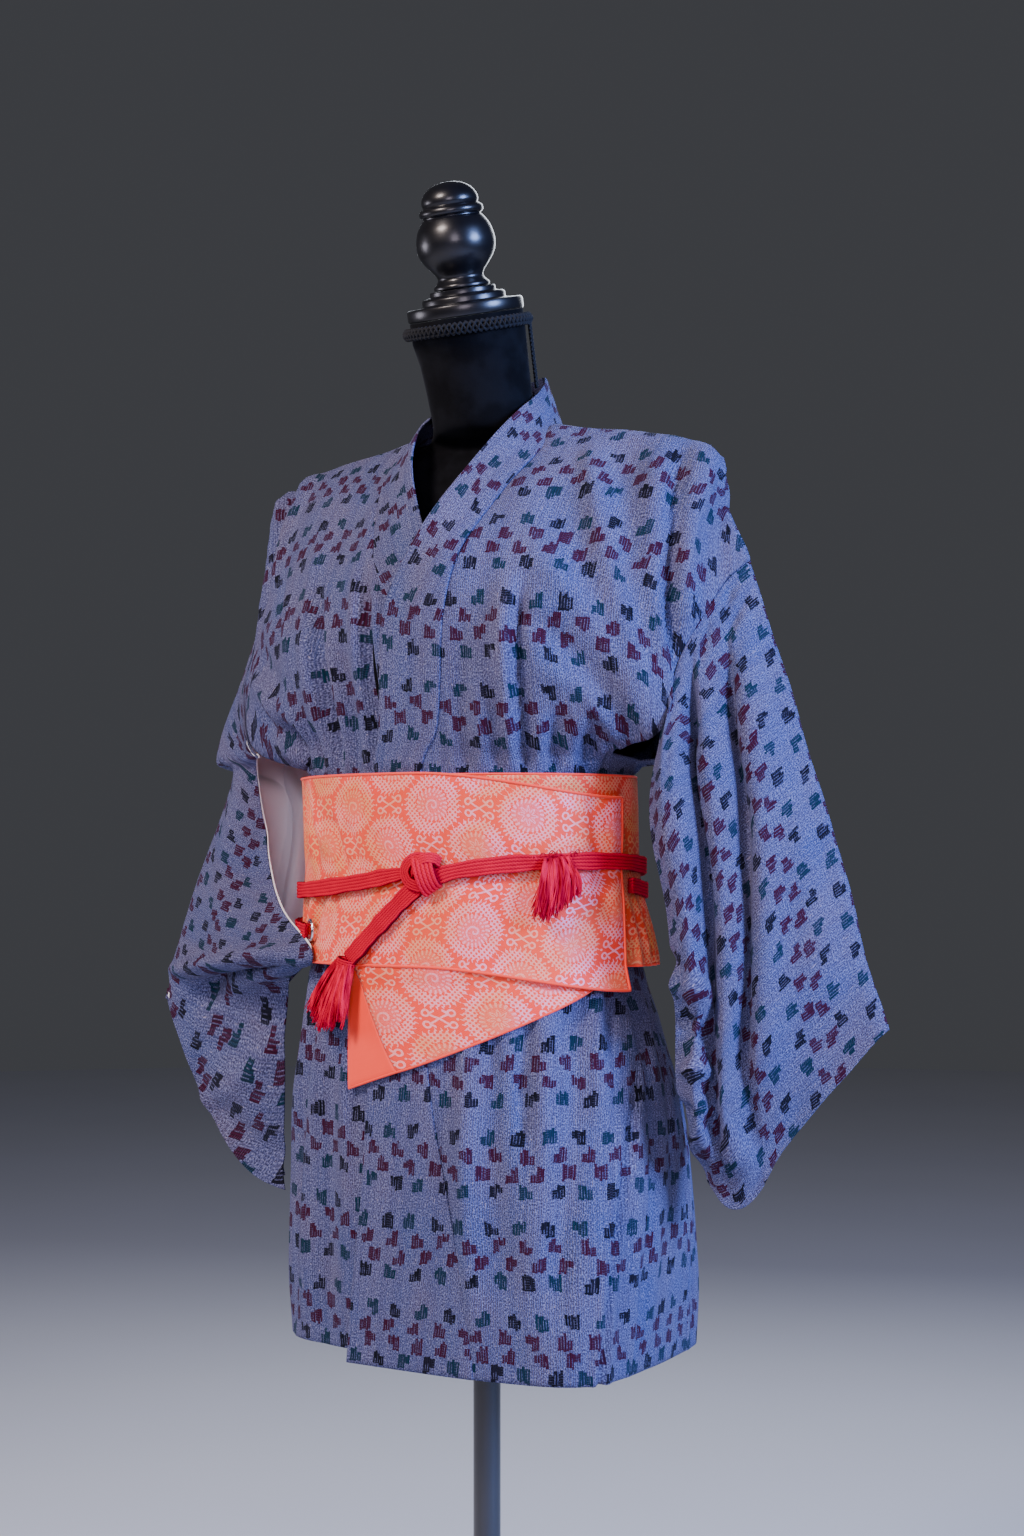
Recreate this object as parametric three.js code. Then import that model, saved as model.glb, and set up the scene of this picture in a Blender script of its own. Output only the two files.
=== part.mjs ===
// A short haori jacket with its belt, worn on a limbless dress form.
// Millimetres, +Z up, front towards -Y, the wearer's left towards +X.
// Origin: underside of the round base, on the axis of the pole.
import * as THREE from 'three';

// ---- driving sizes ----
const CLOTH = 1.6;            // thickness of the haori cloth wall
const LINING = 1.0;           // thickness of the satin lining wall
const BELT = 1.5;             // thickness of one turn of the belt
const SEAM = 0.3;             // gap between neighbouring pieces
const HEM_Z = 645;            // height of the hem above the floor
const BELT_BOTTOM_Z = 948;
const BELT_TOP_Z = 1098;
const NECK_LEAN = 16.5;       // forward lean of the neck cap and finial, in degrees
const CAP_CENTRE = [0, -32, 1458];
const NECK_RADIUS = 45;
const POLE_RADIUS = 11;
const BASE_RADIUS = 170;
const BASE_HEIGHT = 12;
const SOCKET_HEIGHT = 44;
const FORM_BOTTOM_Z = 706;

// ---- materials ----
const finish = (color, roughness, metalness = 0) =>
  new THREE.MeshStandardMaterial({ color, roughness, metalness });
const haoriCloth = finish(0x7377a8, 0.85);
const satin = finish(0xe9e6ea, 0.45);
const brocade = finish(0xf07a58, 0.6);
const plainCoral = finish(0xf26e45, 0.65);
const redCord = finish(0xc8102e, 0.6);
const velvet = finish(0x08080b, 0.95);
const blackLacquer = finish(0x101014, 0.3);
const blackBraid = finish(0x0c0c10, 0.8);
const poleMetal = finish(0x15161b, 0.2, 0.8);
const eyeletMetal = finish(0xd8d8dc, 0.3, 0.9);

const part = new THREE.Group();

function addPiece(name, geometry, material) {
  const mesh = new THREE.Mesh(geometry, material);
  mesh.name = name;
  part.add(mesh);
  return mesh;
}

// ---- smooth curves and surfaces ----
const mix = (a, b, t) => a + (b - a) * t;
const radians = THREE.MathUtils.degToRad;
const ease = (from, to, t) => THREE.MathUtils.smoothstep(t, from, to);

// Smooth curve through evenly numbered stations, t from 0 to 1.
function through(stations, t) {
  const last = stations.length - 1;
  const place = Math.min(Math.max(t, 0), 1) * last;
  const i = Math.min(Math.floor(place), last - 1);
  const f = place - i;
  const p1 = stations[i];
  const p2 = stations[i + 1];
  const p0 = i > 0 ? stations[i - 1] : p1.map((v, k) => 2 * v - p2[k]);
  const p3 = i + 2 <= last ? stations[i + 2] : p2.map((v, k) => 2 * v - p1[k]);
  return p1.map((v, k) => v + 0.5 * f * (p2[k] - p0[k]
    + f * (2 * p0[k] - 5 * v + 4 * p2[k] - p3[k] + f * (3 * (v - p2[k]) + p3[k] - p0[k]))));
}

// Smooth surface through rows of stations: u runs along a row, v from row to row.
const sheetThrough = (rows) => (u, v) => through(rows.map((row) => through(row, u)), v);

// Evenly spaced numbers from a to b.
const spread = (a, b, count) => Array.from({ length: count + 1 }, (_, i) => mix(a, b, i / count));

function normalOf(surface, u, v, step) {
  const at = (du, dv) => new THREE.Vector3(...surface(u + du, v + dv));
  const alongU = at(step, 0).sub(at(-step, 0));
  const alongV = at(0, step).sub(at(0, -step));
  return alongU.cross(alongV).normalize();
}

// A closed wall over a surface: its faces lie `inner` and `outer` mm along the normal.
// `square` turns the normal at an edge, so that the wall's end there is square to the seam.
// `calm` is the reach over which a normal is taken, wide where deep folds crowd.
function wall(surface, us, vs, inner, outer, { wraps = false, square = () => {}, calm = 1e-3 } = {}) {
  const places = [];
  const columns = us.length;
  for (const level of [outer, inner]) {
    for (const v of vs) {
      for (const u of us) {
        const p = new THREE.Vector3(...surface(u, v));
        const normal = normalOf(surface, u, v, calm);
        square(u, v, normal);
        p.addScaledVector(normal.normalize(), level);
        places.push(p.x, p.y, p.z);
      }
    }
  }
  const layer = columns * vs.length;
  const index = [];
  const quad = (a, b, c, d) => index.push(a, b, c, a, c, d);
  const id = (i, j, side) => side * layer + j * columns + (i % columns);
  const across = wraps ? columns : columns - 1;
  for (let j = 0; j + 1 < vs.length; j++) {
    for (let i = 0; i < across; i++) {
      quad(id(i, j, 0), id(i + 1, j, 0), id(i + 1, j + 1, 0), id(i, j + 1, 0));
      quad(id(i, j, 1), id(i, j + 1, 1), id(i + 1, j + 1, 1), id(i + 1, j, 1));
    }
  }
  const top = vs.length - 1;
  for (let i = 0; i < across; i++) {
    quad(id(i, 0, 0), id(i, 0, 1), id(i + 1, 0, 1), id(i + 1, 0, 0));
    quad(id(i, top, 0), id(i + 1, top, 0), id(i + 1, top, 1), id(i, top, 1));
  }
  if (!wraps) {
    const end = columns - 1;
    for (let j = 0; j < top; j++) {
      quad(id(0, j, 0), id(0, j + 1, 0), id(0, j + 1, 1), id(0, j, 1));
      quad(id(end, j, 0), id(end, j, 1), id(end, j + 1, 1), id(end, j + 1, 0));
    }
  }
  return faceOut(places, index);
}

// Builds the mesh with its faces pointing out.
function faceOut(places, index) {
  const corner = (k) => new THREE.Vector3().fromArray(places, index[k] * 3);
  let volume = 0;
  for (let k = 0; k < index.length; k += 3) {
    volume += corner(k).dot(corner(k + 1).cross(corner(k + 2)));
  }
  if (volume < 0) index.reverse();
  const geometry = new THREE.BufferGeometry();
  geometry.setAttribute('position', new THREE.Float32BufferAttribute(places, 3));
  geometry.setIndex(index);
  geometry.computeVertexNormals();
  return geometry;
}

// A closed solid through rings of points, with a flat end at each side.
function loft(rings) {
  const sides = rings[0].length;
  const places = rings.flat(2);
  const index = [];
  for (let j = 0; j + 1 < rings.length; j++) {
    for (let i = 0; i < sides; i++) {
      const a = j * sides + i;
      const b = j * sides + (i + 1) % sides;
      index.push(a, b, b + sides, a, b + sides, a + sides);
    }
  }
  for (let i = 1; i + 1 < sides; i++) {
    const top = (rings.length - 1) * sides;
    index.push(0, i + 1, i, top, top + i, top + i + 1);
  }
  return faceOut(places, index);
}

// ---- stand ----
const turned = (profile, sides = 32) =>
  new THREE.LatheGeometry(profile.map(([r, h]) => new THREE.Vector2(r, h)), sides).rotateX(Math.PI / 2);

function addStand() {
  const socketBore = POLE_RADIUS + SEAM;
  const socketOuter = POLE_RADIUS + 8;
  const plate = turned([
    [0, 0], [BASE_RADIUS - 3, 0], [BASE_RADIUS, 3], [BASE_RADIUS, BASE_HEIGHT - 4],
    [BASE_RADIUS - 6, BASE_HEIGHT], [socketOuter + 8, BASE_HEIGHT], [socketOuter, BASE_HEIGHT + 8],
    [socketOuter, SOCKET_HEIGHT - 3], [socketOuter - 3, SOCKET_HEIGHT], [socketBore, SOCKET_HEIGHT],
    [socketBore, BASE_HEIGHT], [0, BASE_HEIGHT],
  ], 44);
  addPiece('base', plate, poleMetal);
  const poleLength = FORM_BOTTOM_Z - SEAM - BASE_HEIGHT - SEAM;
  const pole = new THREE.CylinderGeometry(POLE_RADIUS, POLE_RADIUS, poleLength, 24).rotateX(Math.PI / 2);
  addPiece('pole', pole, poleMetal).position.z = BASE_HEIGHT + SEAM + poleLength / 2;
}

// ---- dress form ----
// z: height, half: half width, front and back: depths from the middle, y: middle, round: squareness.
const FORM_RINGS = [
  { z: FORM_BOTTOM_Z, half: 124, front: 90, back: 90, y: -2, round: 2.0 },
  { z: 712, half: 133, front: 97, back: 97, y: -2, round: 2.0 },
  { z: 735, half: 141, front: 102, back: 103, y: -2, round: 2.0 },
  { z: 800, half: 145, front: 104, back: 106, y: -4, round: 2.0 },
  { z: 860, half: 143, front: 101, back: 104, y: -6, round: 2.0 },
  { z: 920, half: 132, front: 92, back: 95, y: -8, round: 2.0 },
  { z: 975, half: 117, front: 85, back: 86, y: -11, round: 2.0 },
  { z: 1030, half: 109, front: 80, back: 80, y: -13, round: 2.0 },
  { z: 1090, half: 116, front: 85, back: 80, y: -13, round: 2.0 },
  { z: 1145, half: 130, front: 96, back: 82, y: -12, round: 2.1 },
  { z: 1200, half: 140, front: 103, back: 86, y: -9, round: 2.1 },
  { z: 1245, half: 150, front: 93, back: 85, y: -6, round: 2.1 },
  { z: 1285, half: 162, front: 70, back: 74, y: -3, round: 2.0 },
  { z: 1308, half: 172, front: 48, back: 52, y: -1, round: 1.9 },
  { z: 1326, half: 174, front: 34, back: 37, y: 0, round: 1.8 },
  { z: 1341, half: 160, front: 25, back: 30, y: 0, round: 1.7 },
  { z: 1352, half: 128, front: 22, back: 29, y: 0, round: 1.7 },
  { z: 1358, half: 96, front: 20, back: 31, y: 0, round: 1.7 },
  { z: 1363, half: 60, front: 25, back: 38, y: 0, round: 1.8 },
  { z: 1370, half: 42, front: 38, back: 42, y: -4, round: 2.0 },
  { z: 1392, half: 41.5, front: 41.5, back: 42, y: -9, round: 2.0 },
  { z: 1425, half: 43.5, front: 43.5, back: 43.5, y: -20, round: 2.0 },
];

const FORM_SIDES = 36;

function roundRing({ z, half, front, back, y, round }, sides = FORM_SIDES) {
  return spread(0, 360, sides).slice(0, sides).map((angle) => {
    const s = Math.sin(radians(angle));
    const c = Math.cos(radians(angle));
    const power = 2 / round;
    const depth = c > 0 ? front : back;
    return [half * Math.sign(s) * Math.abs(s) ** power, y - depth * Math.sign(c) * Math.abs(c) ** power, z];
  });
}

// Ring of the leaning neck top, square to the lean.
function leaningRing(radius, down, sides = FORM_SIDES) {
  const [cx, cy, cz] = CAP_CENTRE;
  const lean = radians(NECK_LEAN);
  return spread(0, 360, sides).slice(0, sides).map((angle) => {
    const across = radius * Math.sin(radians(angle));
    const ahead = radius * Math.cos(radians(angle));
    return [cx + across,
      cy + down * Math.sin(lean) - ahead * Math.cos(lean),
      cz - down * Math.cos(lean) - ahead * Math.sin(lean)];
  });
}

function leaning(geometry) {
  return geometry.rotateX(radians(NECK_LEAN)).translate(...CAP_CENTRE);
}

function addForm() {
  const rings = FORM_RINGS.map((row) => roundRing(row));
  rings.push(leaningRing(NECK_RADIUS, 2), leaningRing(NECK_RADIUS, 0));
  addPiece('form_body', loft(rings), velvet);

  const capRadius = 46;
  const cap = turned([
    [0, SEAM], [capRadius - 1, SEAM], [capRadius, 2], [capRadius, 8], [capRadius - 2, 10],
    [33, 11], [33, 15], [31, 16.5], [26, 17], [26, 21], [0, 21],
  ]);
  addPiece('neck_cap', leaning(cap), blackLacquer);

  const finialFoot = 21 + SEAM;
  const finial = turned([
    [0, finialFoot], [21, finialFoot], [22, 24], [19, 27], [18, 30], [20, 34], [26, 41], [30.5, 50],
    [31, 57], [29, 66], [24, 74], [22, 76], [24.5, 78], [25, 81], [23.5, 84], [21.5, 86], [22, 88],
    [21, 92], [17, 97], [10, 101], [0, 102],
  ]);
  addPiece('finial', leaning(finial), blackLacquer);

  const braidInner = NECK_RADIUS + 1.6;
  const braid = turned([
    [braidInner, -12], [braidInner + 3, -12], [braidInner + 4, -7], [braidInner + 3, -3],
    [braidInner, -3], [braidInner - 0.6, -7], [braidInner, -12],
  ]);
  addPiece('neck_braid', leaning(braid), blackBraid);

  const tail = (u, v) => {
    const ring = leaningRing(mix(47.4, 47, v), mix(12.5, 56, v), 360);
    return through(ring.slice(112, 125), u);
  };
  addPiece('neck_braid_tail', wall(tail, spread(0, 1, 3), spread(0, 1, 4), -1.2, 1.2), blackBraid);
}

// ---- haori body ----
// Closed rings of the lower body: half width, depth to front and back, middle, at each height.
// square: 1 for an ellipse, and less as the skirt's corners are squarer.
const BODY_RINGS = [
  { z: HEM_Z, half: 149, front: 117, back: 121, x: 5, y: 2, square: 0.52 },
  { z: 705, half: 153, front: 118, back: 120, x: 6, y: 0, square: 0.6 },
  { z: 775, half: 158, front: 119, back: 119, x: 5, y: -2, square: 0.75 },
  { z: 850, half: 159, front: 116, back: 116, x: 0, y: -6, square: 0.92 },
  { z: 905, half: 151, front: 108, back: 107, x: -3, y: -10, square: 1 },
  { z: BELT_BOTTOM_Z, half: 141, front: 101, back: 99, x: -5, y: -12, square: 1 },
  { z: 1023, half: 137, front: 98, back: 95, x: -6, y: -13, square: 1 },
  { z: BELT_TOP_Z, half: 137, front: 100, back: 94, x: -7, y: -14, square: 1 },
];

// Point of a ring at an angle from the front, positive towards the wearer's left.
function onRing({ z, half, front, back, x, y, square = 1 }, angle) {
  const [s, c] = [Math.sin(radians(angle)), Math.cos(radians(angle))];
  const across = Math.sign(s) * Math.abs(s) ** square;
  const ahead = Math.sign(c) * Math.abs(c) ** square;
  return [x + half * across, y - (c > 0 ? front : back) * ahead, z];
}

const ringRows = (angles, side) =>
  BODY_RINGS.map((ring) => angles.map((angle) => onRing(ring, side * angle)));

// Stations of the front above the belt, from the collar's free edge out to the sleeve seam.
const FRONT_LEFT_ROWS = [
  { name: 'above belt', edge: [-26, -117, 1128], seam: [22, -117, 1127], bust: [66, -109, 1124],
    side: [101, -88, 1120], tip: [122, -68, 1118], drop: [134, -58, 1116], outer: [146, -50, 1112] },
  { name: 'under arm', edge: [-22, -122, 1175], seam: [29, -123, 1168], bust: [74, -116, 1162],
    side: [119, -94, 1156], tip: [152, -74, 1150], drop: [167, -62, 1146], outer: [179, -52, 1140] },
  { name: 'bust', edge: [-17, -122, 1225], seam: [33, -125, 1215], bust: [80, -119, 1205],
    side: [130, -95, 1200], tip: [167, -65, 1196], drop: [181, -54, 1188], outer: [191, -43, 1180] },
  { name: 'chest', edge: [11, -112, 1284], seam: [42, -114, 1262], bust: [82, -106, 1252],
    side: [133, -82, 1246], tip: [177, -50, 1240], drop: [191, -41, 1222], outer: [204, -29, 1212] },
  { name: 'high chest', edge: [30, -67, 1340], seam: [57, -73, 1312], bust: [93, -70, 1306],
    side: [140, -55, 1300], tip: [182, -37, 1292], drop: [197, -27, 1262], outer: [215, -13, 1238] },
  { name: 'collar side', edge: [43, -31, 1377], seam: [66, -37, 1345], bust: [96, -37, 1340],
    side: [141, -30, 1333], tip: [191, -20, 1321], drop: [203, -13, 1283], outer: [222, -5, 1248] },
  { name: 'shoulder', edge: [46, 10, 1403], seam: [62, 0, 1374], bust: [95, 0, 1366],
    side: [140, 0, 1358], tip: [196, 0, 1341], drop: [207, 1, 1300], outer: [227, 3, 1254] },
];
const FRONT_RIGHT_ROWS = [
  { name: 'above belt', edge: [40, -113, 1128], seam: [-8, -114, 1126], bust: [-60, -107, 1124],
    side: [-103, -87, 1118], tip: [-126, -70, 1112], drop: [-138, -60, 1108], outer: [-150, -53, 1104] },
  { name: 'under arm', edge: [40, -117, 1178], seam: [-10, -119, 1168], bust: [-66, -114, 1162],
    side: [-118, -98, 1154], tip: [-156, -78, 1142], drop: [-174, -69, 1132], outer: [-188, -62, 1122] },
  { name: 'bust', edge: [36, -117, 1228], seam: [-14, -121, 1215], bust: [-71, -117, 1205],
    side: [-127, -98, 1198], tip: [-169, -70, 1192], drop: [-187, -60, 1184], outer: [-203, -49, 1172] },
  { name: 'chest', edge: [6, -108, 1284], seam: [-34, -111, 1262], bust: [-78, -104, 1252],
    side: [-131, -84, 1244], tip: [-175, -54, 1236], drop: [-191, -45, 1222], outer: [-207, -34, 1206] },
  { name: 'high chest', edge: [-30, -65, 1336], seam: [-56, -70, 1312], bust: [-92, -68, 1304],
    side: [-140, -55, 1296], tip: [-182, -36, 1284], drop: [-196, -26, 1262], outer: [-211, -18, 1226] },
  { name: 'collar side', edge: [-43, -32, 1373], seam: [-65, -36, 1345], bust: [-95, -36, 1338],
    side: [-140, -30, 1331], tip: [-190, -19, 1314], drop: [-201, -13, 1282], outer: [-216, -9, 1234] },
  { name: 'shoulder', edge: [-46, 8, 1398], seam: [-62, 0, 1372], bust: [-95, 0, 1364],
    side: [-140, 0, 1356], tip: [-194, 0, 1337], drop: [-204, 0, 1298], outer: [-219, -1, 1240] },
];
// Stations of the left back above the belt, from the centre back out to the sleeve seam.
const BACK_ROWS = [
  { name: 'above belt', centre: [0, 84, 1128], nape: [26, 84, 1127], neck: [40, 83, 1126],
    blade: [78, 75, 1123], side: [106, 59, 1119], tip: [126, 44, 1115],
    drop: [136, 35, 1112], outer: [146, 26, 1108] },
  { name: 'under arm', centre: [0, 92, 1165], nape: [28, 92, 1165], neck: [44, 91, 1163],
    blade: [84, 86, 1160], side: [121, 70, 1155], tip: [152, 57, 1148],
    drop: [166, 51, 1144], outer: [178, 46, 1138] },
  { name: 'low blade', centre: [0, 96, 1210], nape: [30, 96, 1209], neck: [46, 95, 1207],
    blade: [88, 89, 1203], side: [129, 72, 1198], tip: [166, 55, 1194],
    drop: [181, 47, 1186], outer: [191, 41, 1178] },
  { name: 'blade', centre: [0, 97, 1262], nape: [30, 97, 1261], neck: [46, 95, 1258],
    blade: [90, 86, 1252], side: [134, 67, 1246], tip: [176, 47, 1240],
    drop: [191, 39, 1222], outer: [204, 31, 1212] },
  { name: 'high blade', centre: [0, 86, 1318], nape: [32, 84, 1318], neck: [48, 80, 1315],
    blade: [92, 67, 1308], side: [140, 51, 1300], tip: [182, 35, 1292],
    drop: [197, 29, 1262], outer: [215, 19, 1238] },
  { name: 'collar side', centre: [0, 75, 1348], nape: [36, 67, 1350], neck: [56, 46, 1350],
    blade: [95, 39, 1341], side: [141, 30, 1333], tip: [191, 21, 1321],
    drop: [203, 16, 1283], outer: [222, 9, 1248] },
  { name: 'shoulder', centre: [0, 60, 1372], nape: [46, 41, 1373], neck: [62, 3, 1374],
    blade: [95, 1, 1366], side: [140, 1, 1358], tip: [196, 1, 1341],
    drop: [207, 2, 1300], outer: [227, 4, 1254] },
];

const FRONT_COLUMNS = ['edge', 'seam', 'bust', 'side', 'tip', 'drop', 'outer'];
const BACK_COLUMNS = ['centre', 'nape', 'neck', 'blade', 'side', 'tip', 'drop', 'outer'];
const FRONT_ANGLES = [-11, 6, 24, 42, 58, 69, 80];
const BACK_ANGLES = [180, 169, 158, 144, 129, 115, 107, 100];

const stations = (rows, columns) => rows.map((row) => columns.map((name) => row[name]));
const acrossMiddle = ([x, y, z]) => [-x, y, z];

const frontLeft = sheetThrough([
  ...ringRows(FRONT_ANGLES, 1), ...stations(FRONT_LEFT_ROWS, FRONT_COLUMNS),
]);
const frontRight = sheetThrough([
  ...ringRows(FRONT_ANGLES, -1), ...stations(FRONT_RIGHT_ROWS, FRONT_COLUMNS),
]);
const backRowsRight = BACK_ROWS.map((row, i) => BACK_COLUMNS.map((name) => {
  const point = acrossMiddle(row[name]);
  const frontRow = FRONT_RIGHT_ROWS[i].outer;
  if (name !== 'outer') return point;
  return [mix(point[0], frontRow[0], 0.9), point[1], mix(point[2], frontRow[2], 0.9)];
}));
const backLeft = sheetThrough([...ringRows(BACK_ANGLES, 1), ...stations(BACK_ROWS, BACK_COLUMNS)]);
const backRight = sheetThrough([...ringRows(BACK_ANGLES, -1), ...backRowsRight]);

const ROW_COUNT = BODY_RINGS.length + FRONT_LEFT_ROWS.length - 1;
const SEAM_U = 1 / 6;         // the collar seam is the second of seven columns
const GAP_U = 0.0006;         // half a seam gap in the front's own measure
const GAP_V = 0.0004;
const ARMHOLE_GAP_U = 0.006;

// The right front lies under the left one where they overlap, and its hem is shorter.
const UNDERLAP = 3.2;
function underneath(surface) {
  return (u, v) => {
    const [x, y, z] = surface(u, v);
    const inside = UNDERLAP * (1 - ease(0.28, 0.55, u)) * (1 - ease(0.8, 0.92, v));
    return [x, y + inside, z];
  };
}
const frontRightUnder = underneath(frontRight);

// Wall ends lie flat against the shoulder line and the centre back.
function squareAtShoulder(u, v, normal) {
  if (v > 1 - 2 * GAP_V) normal.y = 0;
}
function squareBack(u, v, normal) {
  squareAtShoulder(u, v, normal);
  if (u < 2 * GAP_U) normal.x = 0;
}

const UNDER_BELT_V = (BODY_RINGS.length - 1) / ROW_COUNT;
const SKIRT_VS = [0, 2, 3, 4, 5, 6, 7].map((row) => row / ROW_COUNT);
const BODY_VS = [...SKIRT_VS, ...spread(UNDER_BELT_V, 1 - GAP_V, 8).slice(1)];
const SHORT_HEM_V = 0.012;

function addBody() {
  const panelUs = (from, to) => spread(from, to, 9);
  const fromShortHem = BODY_VS.map((v) => Math.max(v, SHORT_HEM_V));
  const panel = { square: squareAtShoulder };
  const panelOfFront = panelUs(SEAM_U + GAP_U, 1 - ARMHOLE_GAP_U);
  const panelOfBack = panelUs(GAP_U, 1 - ARMHOLE_GAP_U);
  addPiece('front_left', wall(frontLeft, panelOfFront, BODY_VS, -CLOTH, 0, panel), haoriCloth);
  addPiece('front_right', wall(frontRightUnder, panelOfFront, fromShortHem, 0, CLOTH, panel), haoriCloth);
  const back = { square: squareBack };
  addPiece('back_left', wall(backLeft, panelOfBack, BODY_VS, 0, CLOTH, back), haoriCloth);
  addPiece('back_right', wall(backRight, panelOfBack, BODY_VS, -CLOTH, 0, back), haoriCloth);
  const collarUs = spread(0, SEAM_U - GAP_U, 2);
  addPiece('collar_left', wall(frontLeft, collarUs, BODY_VS, -CLOTH, 0.6, panel), haoriCloth);
  addPiece('collar_right', wall(frontRightUnder, collarUs, fromShortHem, -0.2, CLOTH, panel), haoriCloth);
}

// The collar behind the neck stands on the top edge of the back, from one shoulder to the other.
function addBackCollar() {
  const stand = [FRONT_RIGHT_ROWS, FRONT_LEFT_ROWS].map((rows) => rows.at(-1));
  const foot = [stand[0].seam, [-46, 41, 1374], [0, 61, 1374], [46, 41, 1374], stand[1].seam];
  const rim = [stand[0].edge, [-32, 45, 1416], [0, 62, 1422], [27, 46, 1422], stand[1].edge];
  const surface = sheetThrough([foot, rim]);
  const endGap = 0.01;
  const square = (u, v, normal) => {
    if (u < 2 * endGap || u > 1 - 2 * endGap) normal.y = 0;
  };
  const geometry = wall(surface, spread(endGap, 1 - endGap, 14), [0.06, 0.5, 1], 0, CLOTH, { square });
  addPiece('collar_back', geometry, haoriCloth);
}

// ---- side gussets, from the hem to the opening under the arm ----
function addGusset(name, side, front, back) {
  const between = (v) => {
    const a = front(1, v);
    const b = back(1, v);
    return a.map((value, k) => (value + b[k]) / 2 + (k === 0 ? side * 0.5 : 0));
  };
  const surface = (u, v) => through([front(1, v), between(v), back(1, v)], u);
  const vs = [...SKIRT_VS, UNDER_BELT_V + 0.4 / ROW_COUNT];
  const inner = side > 0 ? 0 : -CLOTH;
  addPiece(name, wall(surface, spread(0.01, 0.99, 3), vs, inner, inner + CLOTH), haoriCloth);
}

// ---- sleeves ----
// Rows from the armhole to the cuff and rounded bottom: front and back are the inner edges,
// outer the arm line. start: where the cloth starts, just off the armhole. around and steps:
// faces round the sleeve and along it. sag: how far the last row hangs below a straight line,
// at each tenth of its width.
const SLEEVE_LEFT = {
  start: 0.004,
  around: 22,
  steps: 10,
  rows: [
    { front: [179, -52, 1140], outer: [227, 3, 1254], back: [178, 46, 1138] },
    { front: [172, -54, 1070], outer: [247, 10, 1184], back: [175, 50, 1070] },
    { front: [184, -54, 1000], outer: [268, 16, 1114], back: [180, 52, 1000] },
    { front: [191, -51, 930], outer: [288, 20, 1044], back: [186, 50, 930] },
    { front: [190, -46, 860], outer: [307, 24, 975], back: [190, 46, 860] },
    { front: [193, -36, 792], outer: [326, 27, 905], back: [196, 40, 794] },
  ],
  sag: [5, 34, 46, 44, 30, 23, 18, 13, 9, 4, 0],
  folds: [
    { layer: 'front', at: 0.13, width: 0.09, height: 20, from: 0, to: 0.75 },
    { layer: 'front', at: 0.3, width: 0.05, height: -9, from: 0, to: 0.9 },
    { layer: 'front', at: 0.4, width: 0.06, height: 8, from: 0.1, to: 1.1 },
    { layer: 'front', at: 0.49, width: 0.05, height: -14, from: 0.1, to: 1.2 },
    { layer: 'front', at: 0.74, width: 0.14, height: 8, from: 0.2, to: 1.2 },
    { layer: 'back', at: 0.2, width: 0.09, height: 12, from: 0, to: 0.9 },
    { layer: 'back', at: 0.36, width: 0.05, height: -9, from: 0.05, to: 1.1 },
    { layer: 'back', at: 0.6, width: 0.12, height: 9, from: 0.1, to: 1.2 },
  ],
};
const SLEEVE_RIGHT = {
  start: 0.0014,
  around: 20,
  steps: 12,
  rows: [
    { front: [-188, -62, 1122], outer: [-219, -1, 1240], back: [-187, 46, 1124] },
    { front: [-180, -66, 1113], outer: [-255, -19, 1119], back: [-184, 48, 1096] },
    { front: [-191, -50, 1104], outer: [-238, -14, 1102], back: [-182, 50, 1070] },
    { front: [-180, -54, 1050], outer: [-262, -19, 1035], back: [-180, 52, 1020] },
    { front: [-165, -66, 996], outer: [-287, -24, 975], back: [-180, 52, 960] },
    { front: [-128, -88, 964], outer: [-300, -27, 942], back: [-180, 50, 920] },
    { front: [-168, -56, 930], outer: [-303, -26, 932], back: [-182, 47, 880] },
    { front: [-178, -42, 862], outer: [-304, -26, 925], back: [-184, 42, 840] },
    { front: [-184, -26, 800], outer: [-305, -26, 918], back: [-188, 34, 800] },
    { front: [-188, -14, 760], outer: [-306, -26, 911], back: [-191, 18, 770] },
  ],
  sag: [14, 25, 35, 42, 45, 45, 42, 36, 27, 14, 0],
  folds: [
    { layer: 'front', at: 0.5, width: 0.2, height: 8, from: 0.25, to: 0.62 },
    { layer: 'back', at: 0.25, width: 0.09, height: 12, from: 0, to: 0.9 },
    { layer: 'back', at: 0.42, width: 0.06, height: -9, from: 0.05, to: 1.1 },
    { layer: 'back', at: 0.65, width: 0.12, height: 8, from: 0.1, to: 1.2 },
  ],
};
const UNDER_ARM_V = 9 / ROW_COUNT;

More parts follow.
